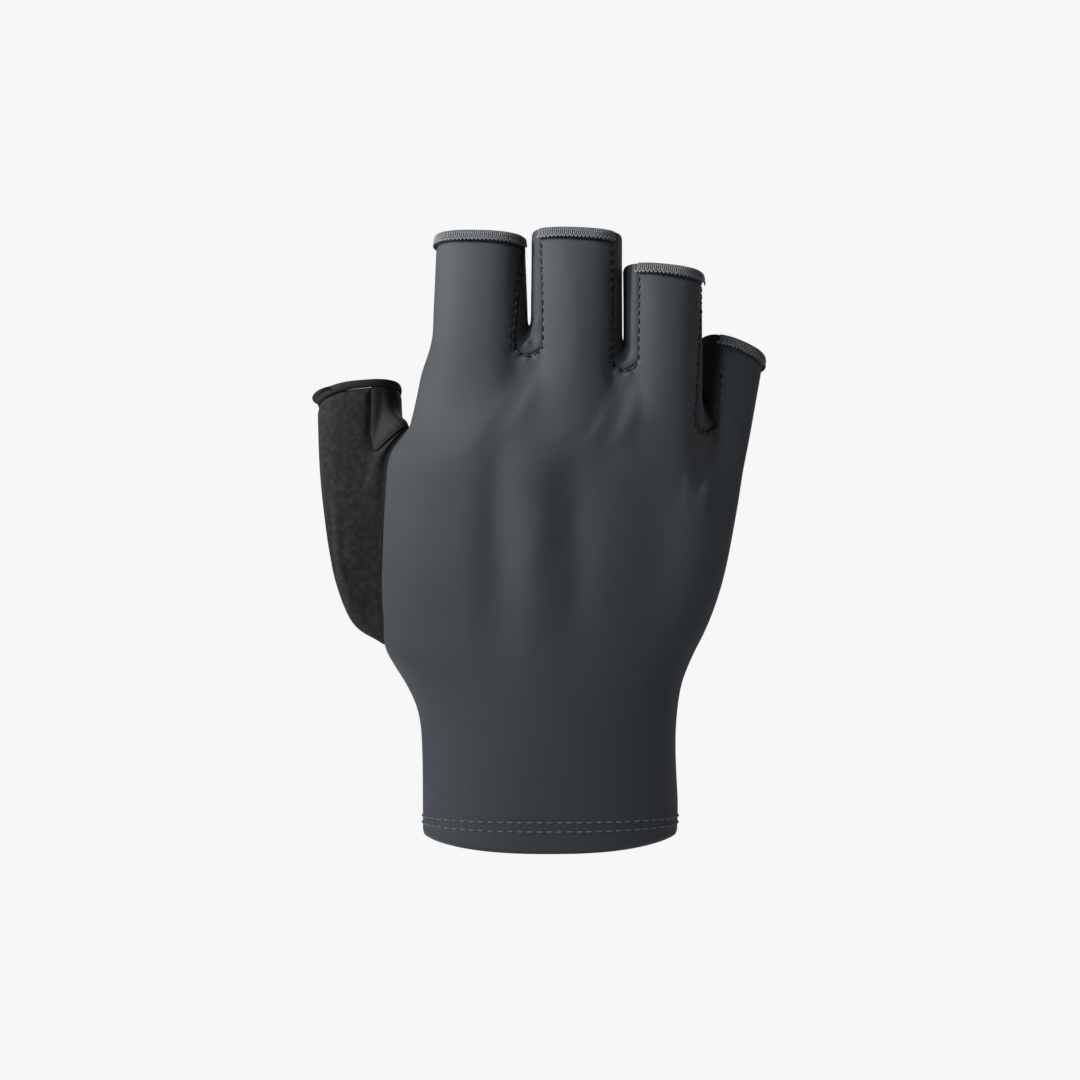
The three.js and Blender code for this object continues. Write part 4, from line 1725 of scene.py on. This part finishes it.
class Value:
    """A number that varies over a surface. Its sums and products add Math nodes."""

    def __init__(self, graph: Graph, socket: bpy.types.NodeSocket) -> None:
        """Wraps an output socket of a graph."""
        self.graph = graph
        self.socket = socket

    def _math(self, operation: str, *values: Value | float) -> Value:
        """A Math node on this and other values.

        Args:
            operation: what the node does.
            values: the values that it works on.

        Returns:
            The result.
        """
        inputs = {i: value for i, value in enumerate(values)}
        return self.graph.value("ShaderNodeMath", {"operation": operation}, inputs)

    def __add__(self, other: Value | float) -> Value:
        """The sum."""
        return self._math("ADD", self, other)

    __radd__ = __add__

    def __sub__(self, other: Value | float) -> Value:
        """The difference."""
        return self._math("SUBTRACT", self, other)

    def __rsub__(self, other: Value | float) -> Value:
        """The difference from another value."""
        return self._math("SUBTRACT", other, self)

    def __mul__(self, other: Value | float) -> Value:
        """The product."""
        return self._math("MULTIPLY", self, other)

    __rmul__ = __mul__

    def __pow__(self, power: float) -> Value:
        """The power."""
        return self._math("POWER", self, power)

    def __abs__(self) -> Value:
        """The size, without its sign."""
        return self._math("ABSOLUTE", self)

    def fraction(self) -> Value:
        """What is left over whole numbers."""
        return self._math("FRACT", self)

    def sine(self) -> Value:
        """The sine."""
        return self._math("SINE", self)

    def above(self, low: float) -> Value:
        """The value, but no less than low."""
        return self._math("MAXIMUM", self, low)

    def between(self, low: float, high: float) -> Value:
        """A smooth rise from 0 at low to 1 at high.

        Args:
            low: the value at which the rise starts.
            high: the value at which it ends.

        Returns:
            The rise.
        """
        settings = {"interpolation_type": "SMOOTHSTEP"}
        inputs = {"Value": self, "From Min": low, "From Max": high}
        return self.graph.value("ShaderNodeMapRange", settings, inputs)


class Graph:
    """The nodes of one material."""

    def __init__(self, name: str) -> None:
        """Starts an empty material.

        Args:
            name: the material's name.
        """
        self.material = bpy.data.materials.new(name)
        self.material.use_nodes = True
        self.tree = self.material.node_tree
        self.tree.nodes.clear()

    def add(
        self, kind: str, settings: dict[str, object] | None = None, inputs: dict | None = None
    ) -> bpy.types.Node:
        """Adds a node.

        Args:
            kind: the node's type.
            settings: its own settings, by name.
            inputs: values or links of its sockets, by name or number.

        Returns:
            The node.
        """
        node = self.tree.nodes.new(kind)
        for name, setting in (settings or {}).items():
            setattr(node, name, setting)
        for name, value in (inputs or {}).items():
            socket = node.inputs[name]
            if isinstance(value, Value):
                self.tree.links.new(value.socket, socket)
            elif isinstance(value, bpy.types.NodeSocket):
                self.tree.links.new(value, socket)
            else:
                socket.default_value = value
        return node

    def value(
        self, kind: str, settings: dict[str, object] | None = None, inputs: dict | None = None
    ) -> Value:
        """Adds a node and wraps its first output."""
        return Value(self, self.add(kind, settings, inputs).outputs[0])

    def place(self) -> bpy.types.NodeSocket:
        """The place on the object, in metres."""
        return self.add("ShaderNodeTexCoord").outputs["Object"]

    def cloth(self) -> tuple[Value, Value]:
        """The place on the cloth, across and up it, in mm.

        Returns:
            The place across and the place up.
        """
        found = self.add("ShaderNodeUVMap", {"uv_map": CLOTH_MAP}).outputs[0]
        split = self.add("ShaderNodeSeparateXYZ", inputs={0: found})
        return Value(self, split.outputs[0]), Value(self, split.outputs[1])

    def noise(self, size: float, detail: float = 2.0, rough: float = 0.5) -> Value:
        """Noise whose grain is about size millimetres.

        Args:
            size: the grain in mm.
            detail: how many finer layers it has.
            rough: how strong those are.

        Returns:
            The noise, from 0 to 1.
        """
        inputs = {"Vector": self.place(), "Scale": 1 / (size * MM), "Detail": detail, "Roughness": rough}
        return self.value("ShaderNodeTexNoise", None, inputs)

    def crumb(self, size: float, feature: str = "SMOOTH_F1") -> Value:
        """Rounded grains about size millimetres across, 0 at their middles.

        Args:
            size: the width of a grain in mm.
            feature: how the distance to the grains is taken.

        Returns:
            The distance to the nearest middle.
        """
        inputs = {"Vector": self.place(), "Scale": 1 / (size * MM)}
        return self.value("ShaderNodeTexVoronoi", {"feature": feature}, inputs)

    def mixed(self, share: Value, first: Colour, second: Colour) -> bpy.types.NodeSocket:
        """A colour between two, each a colour or another mix.

        Args:
            share: how much of the second colour there is.
            first: the first colour.
            second: the second colour.

        Returns:
            The colour.
        """

        def full(colour: Colour) -> object:
            """A plain colour with its alpha, or the socket as it is."""
            return (*colour, 1.0) if isinstance(colour, tuple) else colour

        inputs = {"Factor": share, 6: full(first), 7: full(second)}
        return self.add("ShaderNodeMix", {"data_type": "RGBA"}, inputs).outputs[2]

    def bump(self, height: Value, depth: float) -> bpy.types.NodeSocket:
        """A relief of a height from 0 to 1 times depth in millimetres."""
        return self.add("ShaderNodeBump", inputs={"Height": height, "Distance": depth * MM}).outputs[0]

    def finish(self, **inputs: object) -> bpy.types.Material:
        """Ends the material in a Principled surface. Names use _ for a space.

        Args:
            inputs: the values and links of the surface.

        Returns:
            The material.
        """
        named = {name.replace("_", " "): value for name, value in inputs.items()}
        shader = self.add("ShaderNodeBsdfPrincipled", inputs=named)
        self.add("ShaderNodeOutputMaterial", inputs={"Surface": shader.outputs[0]})
        return self.material


@dataclass(frozen=True)
class KnitFinish:
    """Fine stretch knit: columns of V-shaped loops with a soft sheen, the loop tops painted lighter and
    the hollows between them painted darker as painted shade. Sizes in mm.
    """

    name: str
    slot: str
    shade: tuple[float, float, float]
    # thread: the lighter colour that the loop tops get by their height, partly the yarn's own tone and
    # partly painted highlight
    thread: tuple[float, float, float]
    wale: float = 0.5
    course: float = 0.4
    relief: float = 0.05
    # how far the loop tops are painted towards the thread colour: painted shade in the hollows, painted
    # highlight on the tops
    painted_loop_shade: float = 0.4
    roughness: float = 0.6
    sheen: float = 0.2
    fuzz: float = 0.25
    wander: float = 9.0
    patches: float = 14.0
    patch_shade: float = 0.82
    lean: float = 1.1

    def material(self) -> bpy.types.Material:
        """Builds the material.

        Returns:
            The material.
        """
        graph = Graph(self.name)
        across, up = graph.cloth()
        wander = graph.noise(self.wander)
        side = abs((across * (1 / self.wale)).fraction() - 0.5)
        legs = 1 - abs(side * 4 - 1)
        rise = (up * (1 / self.course) + side * self.lean + wander * 0.5).fraction()
        loops = legs.above(0.0) ** 0.6 * (rise * math.pi).sine().above(0.0) ** 0.5
        fuzz = graph.noise(self.fuzz, 3.0)
        height = loops * 0.8 + fuzz * 0.2
        tone = graph.noise(self.patches, 3.0)
        dark = tuple(self.patch_shade * c for c in self.shade)
        ground = graph.mixed(tone, dark, self.shade)
        # painted shade: the colour runs from the ground in the loops' hollows to the thread colour on
        # their tops, by the bump's height
        colour = graph.mixed(height * self.painted_loop_shade, ground, self.thread)
        rough = self.roughness + 0.1 * (1 - loops)
        normal = graph.bump(height, self.relief)
        return graph.finish(
            Base_Color=colour,
            Roughness=rough,
            Normal=normal,
            Sheen_Weight=self.sheen,
            Sheen_Roughness=0.45,
            Sheen_Tint=(0.75, 0.86, 1.0, 1.0),
            Specular_IOR_Level=0.35,
        )


@dataclass(frozen=True)
class SuedeFinish:
    """Matt suede with a crumbed, pebbled face, the pebbles' tops painted lighter and the hollows between
    them painted darker as painted shade. Sizes in mm.
    """

    name: str
    slot: str
    shade: tuple[float, float, float]
    # high: the lighter colour painted on the pebbles' tops, a painted highlight; worn: the colour of the
    # wear patches
    high: tuple[float, float, float]
    worn: tuple[float, float, float]
    grain: float = 1.5
    relief: float = 0.3
    lump: float = 3.2
    nap: float = 0.3
    wear: float = 24.0

    def material(self) -> bpy.types.Material:
        """Builds the material.

        Returns:
            The material.
        """
        graph = Graph(self.name)
        pebble = 1 - graph.crumb(self.grain) * 1.2
        lump = graph.noise(self.lump, 3.0, 0.6)
        nap = graph.noise(self.nap, 3.0, 0.7)
        height = pebble.above(0.0) * 0.45 + lump * 0.4 + nap * 0.15
        patchy = graph.noise(self.wear, 2.0)
        # painted shade: the colour runs from shade in the hollows to high on the pebbles' tops, by the
        # bump's height
        ground = graph.mixed(height.between(0.35, 0.75), self.shade, self.high)
        colour = graph.mixed((patchy * 1.6 - 0.5).above(0.0) * 0.5, ground, self.worn)
        return graph.finish(
            Base_Color=colour,
            Roughness=0.86 + 0.12 * nap,
            Normal=graph.bump(height, self.relief),
            Specular_IOR_Level=0.25,
            Sheen_Weight=0.06,
            Sheen_Roughness=0.6,
        )


@dataclass(frozen=True)
class LeatherFinish:
    """Smooth, slightly satin leather with a fine grain. Sizes in mm."""

    name: str
    slot: str
    shade: tuple[float, float, float]
    high: tuple[float, float, float]
    grain: float = 0.7
    roughness: float = 0.72
    patches: float = 6.0
    relief: float = 0.08

    def material(self) -> bpy.types.Material:
        """Builds the material.

        Returns:
            The material.
        """
        graph = Graph(self.name)
        cells = graph.crumb(self.grain, "F1")
        soft = graph.noise(self.patches, 2.0)
        colour = graph.mixed(soft, self.shade, self.high)
        height = (1 - cells).above(0.0) * 0.5 + soft * 0.5
        return graph.finish(
            Base_Color=colour,
            Roughness=self.roughness + 0.12 * cells,
            Normal=graph.bump(height, self.relief),
            Specular_IOR_Level=0.4,
        )


@dataclass(frozen=True)
class ThreadFinish:
    """Twisted sewing thread, its twist's ridges painted lighter and its grooves darker, partly the
    strands' own tone and partly painted highlight and painted shade. Sizes in mm.
    """

    name: str
    slot: str
    shade: tuple[float, float, float]
    high: tuple[float, float, float]
    patches: float = 2.5
    relief: float = 0.05

    def material(self) -> bpy.types.Material:
        """Builds the material.

        Returns:
            The material.
        """
        graph = Graph(self.name)
        along, around = graph.cloth()
        twist = ((along * 9.0 + around * 4.0).sine() + 1) * 0.5
        tone = graph.noise(self.patches)
        # The twist is also the bump's height, so its lighter ridges and darker grooves are partly painted
        # highlight and painted shade; the noise tone is the thread's own
        colour = graph.mixed(twist * 0.6 + tone * 0.4, self.shade, self.high)
        return graph.finish(
            Base_Color=colour,
            Roughness=0.6 + 0.2 * tone,
            Normal=graph.bump(twist, self.relief),
            Sheen_Weight=0.2,
        )


@dataclass(frozen=True)
class StagePaint:
    """Plain paint of the studio. glow is the colour of its own light."""

    name: str
    shade: tuple[float, float, float]
    glow: tuple[float, float, float] = (0.0, 0.0, 0.0)

    def material(self) -> bpy.types.Material:
        """Builds the material.

        Returns:
            The material.
        """
        graph = Graph(self.name)
        return graph.finish(
            Base_Color=(*self.shade, 1.0),
            Roughness=0.9,
            Specular_IOR_Level=0.1,
            Emission_Color=(*self.glow, 1.0),
            Emission_Strength=1.0,
        )


Finish = KnitFinish | SuedeFinish | LeatherFinish | ThreadFinish

# The second colour of each knit is painted on its loop tops, the suede's second on its pebbles' tops and
# each thread's second on its twist's ridges: painted highlights over painted shade in the hollows
BACK_KNIT = KnitFinish("slate_knit", "back_knit", (0.044, 0.051, 0.058), (0.085, 0.098, 0.110))
GUSSET_KNIT = KnitFinish("gusset_knit", "gusset_knit", (0.040, 0.047, 0.053), (0.078, 0.090, 0.101))
PALM_SUEDE = SuedeFinish(
    "black_suede", "palm_suede", (0.012, 0.012, 0.013), (0.030, 0.030, 0.031), (0.034, 0.033, 0.030)
)
SMOOTH_LEATHER = LeatherFinish(
    "smooth_leather", "smooth_leather", (0.011, 0.0102, 0.0098), (0.019, 0.017, 0.016)
)
EDGE_CLOTH = KnitFinish("edge_knit", "edge_overlock", (0.05, 0.057, 0.063), (0.09, 0.10, 0.11))
EDGE_THREAD = ThreadFinish("edge_thread", "edge_overlock", (0.12, 0.135, 0.15), (0.24, 0.26, 0.28))
SEAM_THREAD = ThreadFinish("seam_thread", "gusset_knit", (0.008, 0.009, 0.010), (0.02, 0.022, 0.024))
HEM_THREAD = ThreadFinish("hem_thread", "back_knit", (0.10, 0.112, 0.125), (0.19, 0.205, 0.22))


@dataclass
class Workshop:
    """What every sub-assembly shares: the form, the skin and the materials made so far."""

    form: Form
    skin: Skin
    materials: dict[str, bpy.types.Material] = field(default_factory=dict)
    surfaces: dict[Ply, BVHTree] = field(default_factory=dict)

    def place(
        self, name: str, mesh: bpy.types.Mesh, finish: Finish, replaced: Ply | None = None
    ) -> None:
        """Puts a piece in the scene, dressed, and hands it to the frame.

        Args:
            name: the piece's name.
            mesh: its mesh.
            finish: its finish.
            replaced: the frame's node that it stands for, if any.
        """
        if finish.name not in self.materials:
            self.materials[finish.name] = finish.material()
        mesh.materials.append(self.materials[finish.name])
        piece = bpy.data.objects.new(name, mesh)
        bpy.context.scene.collection.objects.link(piece)
        if replaced is not None:
            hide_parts(replaced.value)
        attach(piece, ROOT)
        LOG.info("%s: %d faces", name, len(mesh.polygons))

    def place_cloth(self, name: str, cloth: Cloth, finish: Finish) -> None:
        """Puts a piece of cloth in the scene and keeps its surface for the stitches.

        Args:
            name: the piece's name.
            cloth: the cloth.
            finish: its finish.
        """
        mesh = cloth.mesh()
        corners = [v.co for v in mesh.vertices]
        faces = [list(p.vertices) for p in mesh.polygons]
        self.surfaces[cloth.ply] = BVHTree.FromPolygons(corners, faces)
        self.place(name, mesh, finish, cloth.ply)


@dataclass(frozen=True)
class BackHand:
    """The knit back of the hand, the gussets between the fingers and their stitched seams. Sizes in mm."""

    wall: float = 1.2
    edge: Edge = Edge()
    gusset_edge: Edge = Edge(tuck=0.6, reach=0.7)
    pucker: Pucker = Pucker(pitch=2.45, deep=0.26)
    stitches: StitchRow = StitchRow(pitch=2.45, dash=1.7, radius=0.27)
    stitch_inset: float = 0.5
    swells: tuple[Swell, ...] = (
        Swell(2.0, 74.0, 22.0, 60.0, 1.8),
        Swell(14.0, 80.0, 8.0, 32.0, -1.1),
        Swell(-8.0, 96.0, 6.0, 14.0, 0.5),
    )
    fade: float = 9.0
    web_folds: tuple[Fold, ...] = (Fold((-3.0, 136.2), (-5.7, 130.6), 0.8, 0.6),)
    web_fade: float = 0.9

    def build(self, shop: Workshop) -> None:
        """Builds the back, its gussets and their stitches.

        Args:
            shop: what the sub-assemblies share.
        """
        seams = {gusset: shop.skin.seam([Ply.BACK], [gusset]) for gusset in GUSSETS}
        back = Cloth(shop.skin, Ply.BACK, self.wall)
        back.finish_border(self.edge)
        back.gather(self.pucker, [seam for chains in seams.values() for seam in chains])
        back.shape(self.swells, self.fade)
        shop.place_cloth("knit_back", back, BACK_KNIT)
        for gusset, chains in seams.items():
            strip = Cloth(shop.skin, gusset, self.wall)
            strip.finish_border(self.gusset_edge)
            strip.shape(self.web_folds, self.web_fade)
            shop.place_cloth(gusset.value + "_strip", strip, GUSSET_KNIT)
            work = ThreadWork()
            for chain in chains:
                line = Line.along(shop.skin, chain).moved(self.stitch_inset)
                self.stitches.sew(work, line.laid_on(shop.surfaces[Ply.BACK]), self.stitches.pitch / 2)
            name = gusset.value.replace("gusset", "stitches")
            shop.place(name, work.mesh(name), SEAM_THREAD)


@dataclass(frozen=True)
class PalmSide:
    """The suede palm and the knit inside of the wrist. Sizes in mm."""

    wall: float = 1.5
    knit_wall: float = 1.2
    edge: Edge = Edge(tuck=0.55, reach=1.0)
    stitches: StitchRow = StitchRow(pitch=2.6, dash=1.8, radius=0.2)
    stitch_inset: float = 1.6

    def build(self, shop: Workshop) -> None:
        """Builds the palm, the wrist and the stitches along the palm's sides.

        Args:
            shop: what the sub-assemblies share.
        """
        palm = Cloth(shop.skin, Ply.PALM, self.wall)
        palm.finish_border(self.edge)
        shop.place_cloth("suede_palm", palm, PALM_SUEDE)
        wrist = Cloth(shop.skin, Ply.WRIST, self.knit_wall)
        wrist.finish_border(self.edge)
        shop.place_cloth("knit_wrist", wrist, BACK_KNIT)
        work = ThreadWork()
        for outside in (Ply.BACK, Ply.WRIST, *GUSSETS):
            for chain in shop.skin.seam([Ply.PALM], [outside]):
                line = Line.along(shop.skin, chain).moved(self.stitch_inset)
                self.stitches.sew(work, line.laid_on(shop.surfaces[Ply.PALM]), self.stitches.pitch / 2)
        shop.place("palm_stitches", work.mesh("palm_stitches"), SEAM_THREAD)


@dataclass(frozen=True)
class ThumbTube:
    """The suede thumb with its smooth patch and thin edge. Sizes in mm."""

    wall: float = 1.5
    edge: Edge = Edge(tuck=0.7, reach=1.1)
    patch_edge: Edge = Edge(gap=0.03, tuck=0.25, reach=0.7)
    rim_edge: Edge = Edge(gap=0.03, tuck=0.35, reach=0.6)

    def build(self, shop: Workshop) -> None:
        """Builds the thumb's panel, patch and edge.

        Args:
            shop: what the sub-assemblies share.
        """
        panel = Cloth(shop.skin, Ply.THUMB, self.wall)
        panel.finish_border(self.edge)
        shop.place_cloth("suede_thumb", panel, PALM_SUEDE)
        patch = Cloth(shop.skin, Ply.PATCH, self.wall, 0.1)
        patch.finish_border(self.patch_edge)
        shop.place_cloth("thumb_patch", patch, SMOOTH_LEATHER)
        rim = Cloth(shop.skin, Ply.THUMB_EDGE, self.wall, 0.15)
        rim.finish_border(self.rim_edge)
        shop.place_cloth("thumb_edge", rim, SMOOTH_LEATHER)


@dataclass(frozen=True)
class FingerEdges:
    """The overlocked edges of the fingers' backs. Sizes in mm."""

    wall: float = 1.7
    proud: float = 0.45
    edge: Edge = Edge(gap=0.03, tuck=0.4, reach=0.7)
    thread: float = 0.2
    pitch: float = 0.5
    slope: float = 0.9
    band: float = 2.3
    inside: float = 1.7
    loop_pitch: float = 1.0
    loop_low: float = 2.75
    loop_high: float = 1.85
    loop_reach: float = 0.62
    loop_bulge: float = 0.12
    loop_thread: float = 0.22
    arc_steps: int = 6

    def build(self, shop: Workshop) -> None:
        """Builds each finger's edge and its threads.

        Args:
            shop: what the sub-assemblies share.
        """
        for ply in FINGER_EDGES:
            band = Cloth(shop.skin, ply, self.wall, self.proud)
            band.finish_border(self.edge)
            shop.place_cloth(ply.value.replace("binding", "band"), band, EDGE_CLOTH)
            work = ThreadWork(sides=5)
            for chain in shop.skin.rim(ply):
                self._overlock(work, Line.along(shop.skin, chain, 0.1))
            name = ply.value.replace("binding", "threads")
            shop.place(name, work.mesh(name), EDGE_THREAD)

    def _overlock(self, work: ThreadWork, line: Line) -> None:
        """Lays oblique threads over the rim and a row of loops along the band's foot.

        Args:
            work: the thread work that takes the threads.
            line: the finger's rim.
        """
        step = line.step
        runs = unit_rows(np.gradient(line.points, axis=0))

        def spot(at: float, out: float, down: float) -> tuple[Point, Point]:
            """A place beside the rim and the way out there.

            Args:
                at: how far along the rim, in mm.
                out: how far out of the cloth.
                down: how far down from the rim.

            Returns:
                The point, and the direction out of the cloth.
            """
            i = int(clamp(round(at / step), 0, len(line.points) - 1))
            extra = at - i * step
            point = line.points[i] + line.out[i] * out + line.aside[i] * down
            return point + runs[i] * extra, line.out[i]

        middle = self.proud - self.wall / 2
        radius = self.wall / 2 + self.thread
        turns = np.linspace(0.0, math.pi, self.arc_steps)
        section = [(middle + radius, self.band), (middle + radius, (self.band + radius) / 2)]
        section += [(middle + radius * math.cos(a), radius * (1 - math.sin(a))) for a in turns]
        section += [(middle - radius, self.inside)]
        length = step * (len(line.points) - 1)
        for start in np.arange(0.2, length - 0.2, self.pitch):
            share = np.linspace(0.0, 1.0, len(section))
            path = [
                spot(start + self.slope * (s - 0.5), out, down)
                for s, (out, down) in zip(share, section)
            ]
            work.lay(np.array([p for p, _ in path]), np.array([o for _, o in path]), self.thread)
        top = self.proud + self.thread
        reach = self.loop_pitch * self.loop_reach
        halfway = lerp(self.loop_high, self.loop_low, 0.5)
        bends = ((-reach, self.loop_high, 0.0), (-reach / 2, halfway, self.loop_bulge))
        bends += ((0.0, self.loop_low, 0.1),)
        bends += tuple((-a, d, o) for a, d, o in reversed(bends[:2]))
        for at in np.arange(0.3, length - 0.3, self.loop_pitch):
            path = [spot(at + a, top + o, d) for a, d, o in bends]
            work.lay(np.array([p for p, _ in path]), np.array([o for _, o in path]), self.loop_thread)


@dataclass(frozen=True)
class CuffHem:
    """The cuff's turned-up hem and its two rows of stitches. Sizes in mm."""

    profile: tuple[tuple[float, float], ...] = (
        (-0.45, 0.3),
        (-0.45, 0.0),
        (-0.75, -0.28),
        (-1.2, -0.38),
        (-1.8, -0.3),
        (-2.2, 0.05),
        (-2.35, 0.6),
        (-2.35, 4.5),
        (-2.35, 8.6),
        (-2.15, 9.0),
        (-1.75, 9.0),
        (-1.4, 8.6),
        (-1.3, 4.5),
        (-1.2, 0.6),
    )
    rows: tuple[tuple[float, float], ...] = ((6.1, 0.08), (3.7, 0.25))
    stitches: StitchRow = StitchRow(pitch=2.55, dash=1.65, radius=0.19)

    def build(self, shop: Workshop) -> None:
        """Builds the hem and its stitches.

        Args:
            shop: what the sub-assemblies share.
        """
        ring = self._edge(shop)
        self._hem(shop, ring)
        work = ThreadWork()
        for height, share in self.rows:
            self._sew_row(shop, work, height, share)
        shop.place("hem_stitches", work.mesh("hem_stitches"), HEM_THREAD)

    def _edge(self, shop: Workshop) -> Line:
        """The cuff's lower edge as a closed line, its way aside pointing up.

        Args:
            shop: what the sub-assemblies share.

        Returns:
            The line.
        """
        edges = shop.skin.open_edges([Ply.BACK, Ply.WRIST])
        points = shop.skin.fine.points
        low = edges[points[edges[:, 0], 2] < shop.form.sizes.palm_length / 4]
        chain = chains_of(low)[0]
        return Line.along(shop.skin, np.array(chain), 0.4, 2)

    def _hem(self, shop: Workshop, ring: Line) -> None:
        """Sweeps the hem's section along the cuff's edge.

        Args:
            shop: what the sub-assemblies share.
            ring: the cuff's lower edge.
        """
        faces, cloth = [], []
        count, turns = len(self.profile), len(ring.points) - 1
        rings = [ring.points + ring.out * out + ring.aside * up for out, up in self.profile]
        points = np.concatenate([points[:-1] for points in rings])
        for k in range(count):
            for i in range(turns):
                j, above = (i + 1) % turns, (k + 1) % count
                faces.append([k * turns + i, k * turns + j, above * turns + j, above * turns + i])
                sides = ((i, k), (i + 1, k), (i + 1, above), (i, above))
                cloth += [(a * ring.step, self.profile[b][1]) for a, b in sides]
        shop.place("folded_hem", cloth_mesh(Ply.HEM.value, points, faces, cloth), BACK_KNIT, Ply.HEM)

    def _sew_row(self, shop: Workshop, work: ThreadWork, height: float, share: float) -> None:
        """Sews one row round the cuff, a share as far above its edge at the sides as the edge rises.

        Args:
            shop: what the sub-assemblies share.
            work: the thread work that takes the stitches.
            height: the row's height over the edge, in mm.
            share: how much of the edge's rise the row adds to its own.
        """
        form = shop.form
        points = []
        for column in form.columns:
            top = form.foot_point(column, 0.0)[2]
            edge = form.cuff_edge(column.even)
            level = (height + share * (edge + form.sizes.cuff_dip) - edge) / (top - edge)
            points.append(form.body_point(column, level))
        points.append(points[0])
        ring = np.array(points)
        length = lengths_along(ring)
        ring = at_places(ring, length, np.arange(0.0, length[-1], 0.2))
        out = unit_rows(ring * (1.0, 1.0, 0.0))
        aside = np.cross(out, np.gradient(ring, axis=0))
        line = Line(ring, out, aside)
        for ply in (Ply.BACK, Ply.WRIST):
            laid = line.laid_on(shop.surfaces[ply])
            near = np.linalg.norm(laid.points - line.points, axis=1) < 1.0
            for first, last in runs_of(near):
                part = Line(laid.points[first:last], laid.out[first:last], laid.aside[first:last])
                self.stitches.sew(work, part, 0.4)


def runs_of(chosen: np.ndarray) -> list[tuple[int, int]]:
    """The runs of True in a row of flags, each as its first place and the one after its last.

    Args:
        chosen: the flags.

    Returns:
        The runs.
    """
    padded = np.concatenate(([False], chosen, [False])).astype(int)
    steps = np.diff(padded)
    return list(zip(np.flatnonzero(steps == 1).tolist(), np.flatnonzero(steps == -1).tolist()))


@dataclass(frozen=True)
class Lamp:
    """A soft lamp, in metres and watts: square, or a spot where it has a cone, in degrees."""

    name: str
    place: tuple[float, float, float]
    size: float
    power: float
    cone: float = 0.0
    aim: tuple[float, float, float] = (-0.0025, 0.0, 0.0792)


@dataclass(frozen=True)
class Studio:
    """The plain pale surroundings, the lamps and the camera. Sizes in metres."""

    floor_height: float = -0.2
    floor_radius: float = 0.6
    dome_radius: float = 8.0
    pale: tuple[float, float, float] = (0.93, 0.93, 0.93)
    ambient: float = 0.02
    aim: tuple[float, float, float] = (-0.0025, 0.0, 0.0792)
    distance: float = 0.85
    view_width: float = 0.2862
    sensor: float = 36.0
    lamps: tuple[Lamp, ...] = (
        Lamp("key_lamp", (-1.15, -0.3, 0.5), 0.6, 6.5),
        Lamp("side_lamp", (-0.85, -0.8, 0.6), 0.6, 8.5),
        Lamp("finger_lamp", (-1.0, -0.5, 0.6), 0.05, 60.0, 10.0, (-0.02, 0.0, 0.168)),
        Lamp("right_lamp", (1.1, -0.1, 0.3), 0.6, 1.8),
        Lamp("back_lamp", (0.3, 1.2, 0.8), 1.0, 6.0),
    )

    def build(self) -> None:
        """Builds everything round the glove."""
        bpy.context.scene.view_settings.view_transform = "Standard"
        self._surroundings()
        for lamp in self.lamps:
            self._light(lamp)
        self._camera()

    def _surroundings(self) -> None:
        """The floor, the pale dome that the camera sees, and the even light of the room."""
        bpy.ops.mesh.primitive_circle_add(
            vertices=96, radius=self.floor_radius, fill_type="NGON", location=(0, 0, self.floor_height)
        )
        floor = bpy.context.object
        floor.name = "floor"
        floor.data.materials.append(StagePaint("floor_paint", (0.88, 0.88, 0.88)).material())
        bpy.ops.mesh.primitive_uv_sphere_add(segments=32, ring_count=16, radius=self.dome_radius)
        dome = bpy.context.object
        dome.name = "dome"
        paint = StagePaint("dome_paint", (0.0, 0.0, 0.0), self.pale).material()
        paint.cycles.emission_sampling = "NONE"
        dome.data.materials.append(paint)
        for ray in ("diffuse", "glossy", "transmission", "shadow"):
            setattr(dome, "visible_" + ray, False)
        world = bpy.data.worlds.new("room")
        world.use_nodes = True
        background = world.node_tree.nodes["Background"]
        background.inputs["Color"].default_value = (1.0, 1.0, 1.0, 1.0)
        background.inputs["Strength"].default_value = self.ambient
        bpy.context.scene.world = world

    def _light(self, lamp: Lamp) -> None:
        """Hangs one lamp, turned to the glove.

        Args:
            lamp: the lamp.
        """
        if lamp.cone > 0:
            light = bpy.data.lights.new(lamp.name, "SPOT")
            light.spot_size, light.spot_blend = math.radians(lamp.cone), 1.0
            light.shadow_soft_size = lamp.size
        else:
            light = bpy.data.lights.new(lamp.name, "AREA")
            light.shape, light.size = "SQUARE", lamp.size
        light.energy = lamp.power
        holder = bpy.data.objects.new(lamp.name, light)
        holder.location = lamp.place
        towards = Vector(lamp.aim) - Vector(lamp.place)
        holder.rotation_euler = towards.to_track_quat("-Z", "Y").to_euler()
        bpy.context.scene.collection.objects.link(holder)

    def _camera(self) -> None:
        """The camera, level and square on to the back of the hand."""
        data = bpy.data.cameras.new("camera")
        data.sensor_width = self.sensor
        data.lens = self.sensor * self.distance / self.view_width
        camera = bpy.data.objects.new("camera", data)
        camera.location = Vector(self.aim) - Vector((0.0, self.distance, 0.0))
        camera.rotation_euler = (math.pi / 2, 0.0, 0.0)
        bpy.context.scene.collection.objects.link(camera)
        bpy.context.scene.camera = camera


def main() -> None:
    """Builds the glove round its frame, sub-assembly by sub-assembly."""
    logging.basicConfig(level=logging.INFO, format="%(name)s: %(message)s")
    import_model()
    form = Form(GloveSizes(), ThumbForm(), CellCounts())
    shop = Workshop(form, SkinMaker(form).skin(levels=3))
    for assembly in (BackHand(), PalmSide(), ThumbTube(), FingerEdges(), CuffHem()):
        assembly.build(shop)
    Studio().build()


if __name__ == "__main__":
    main()
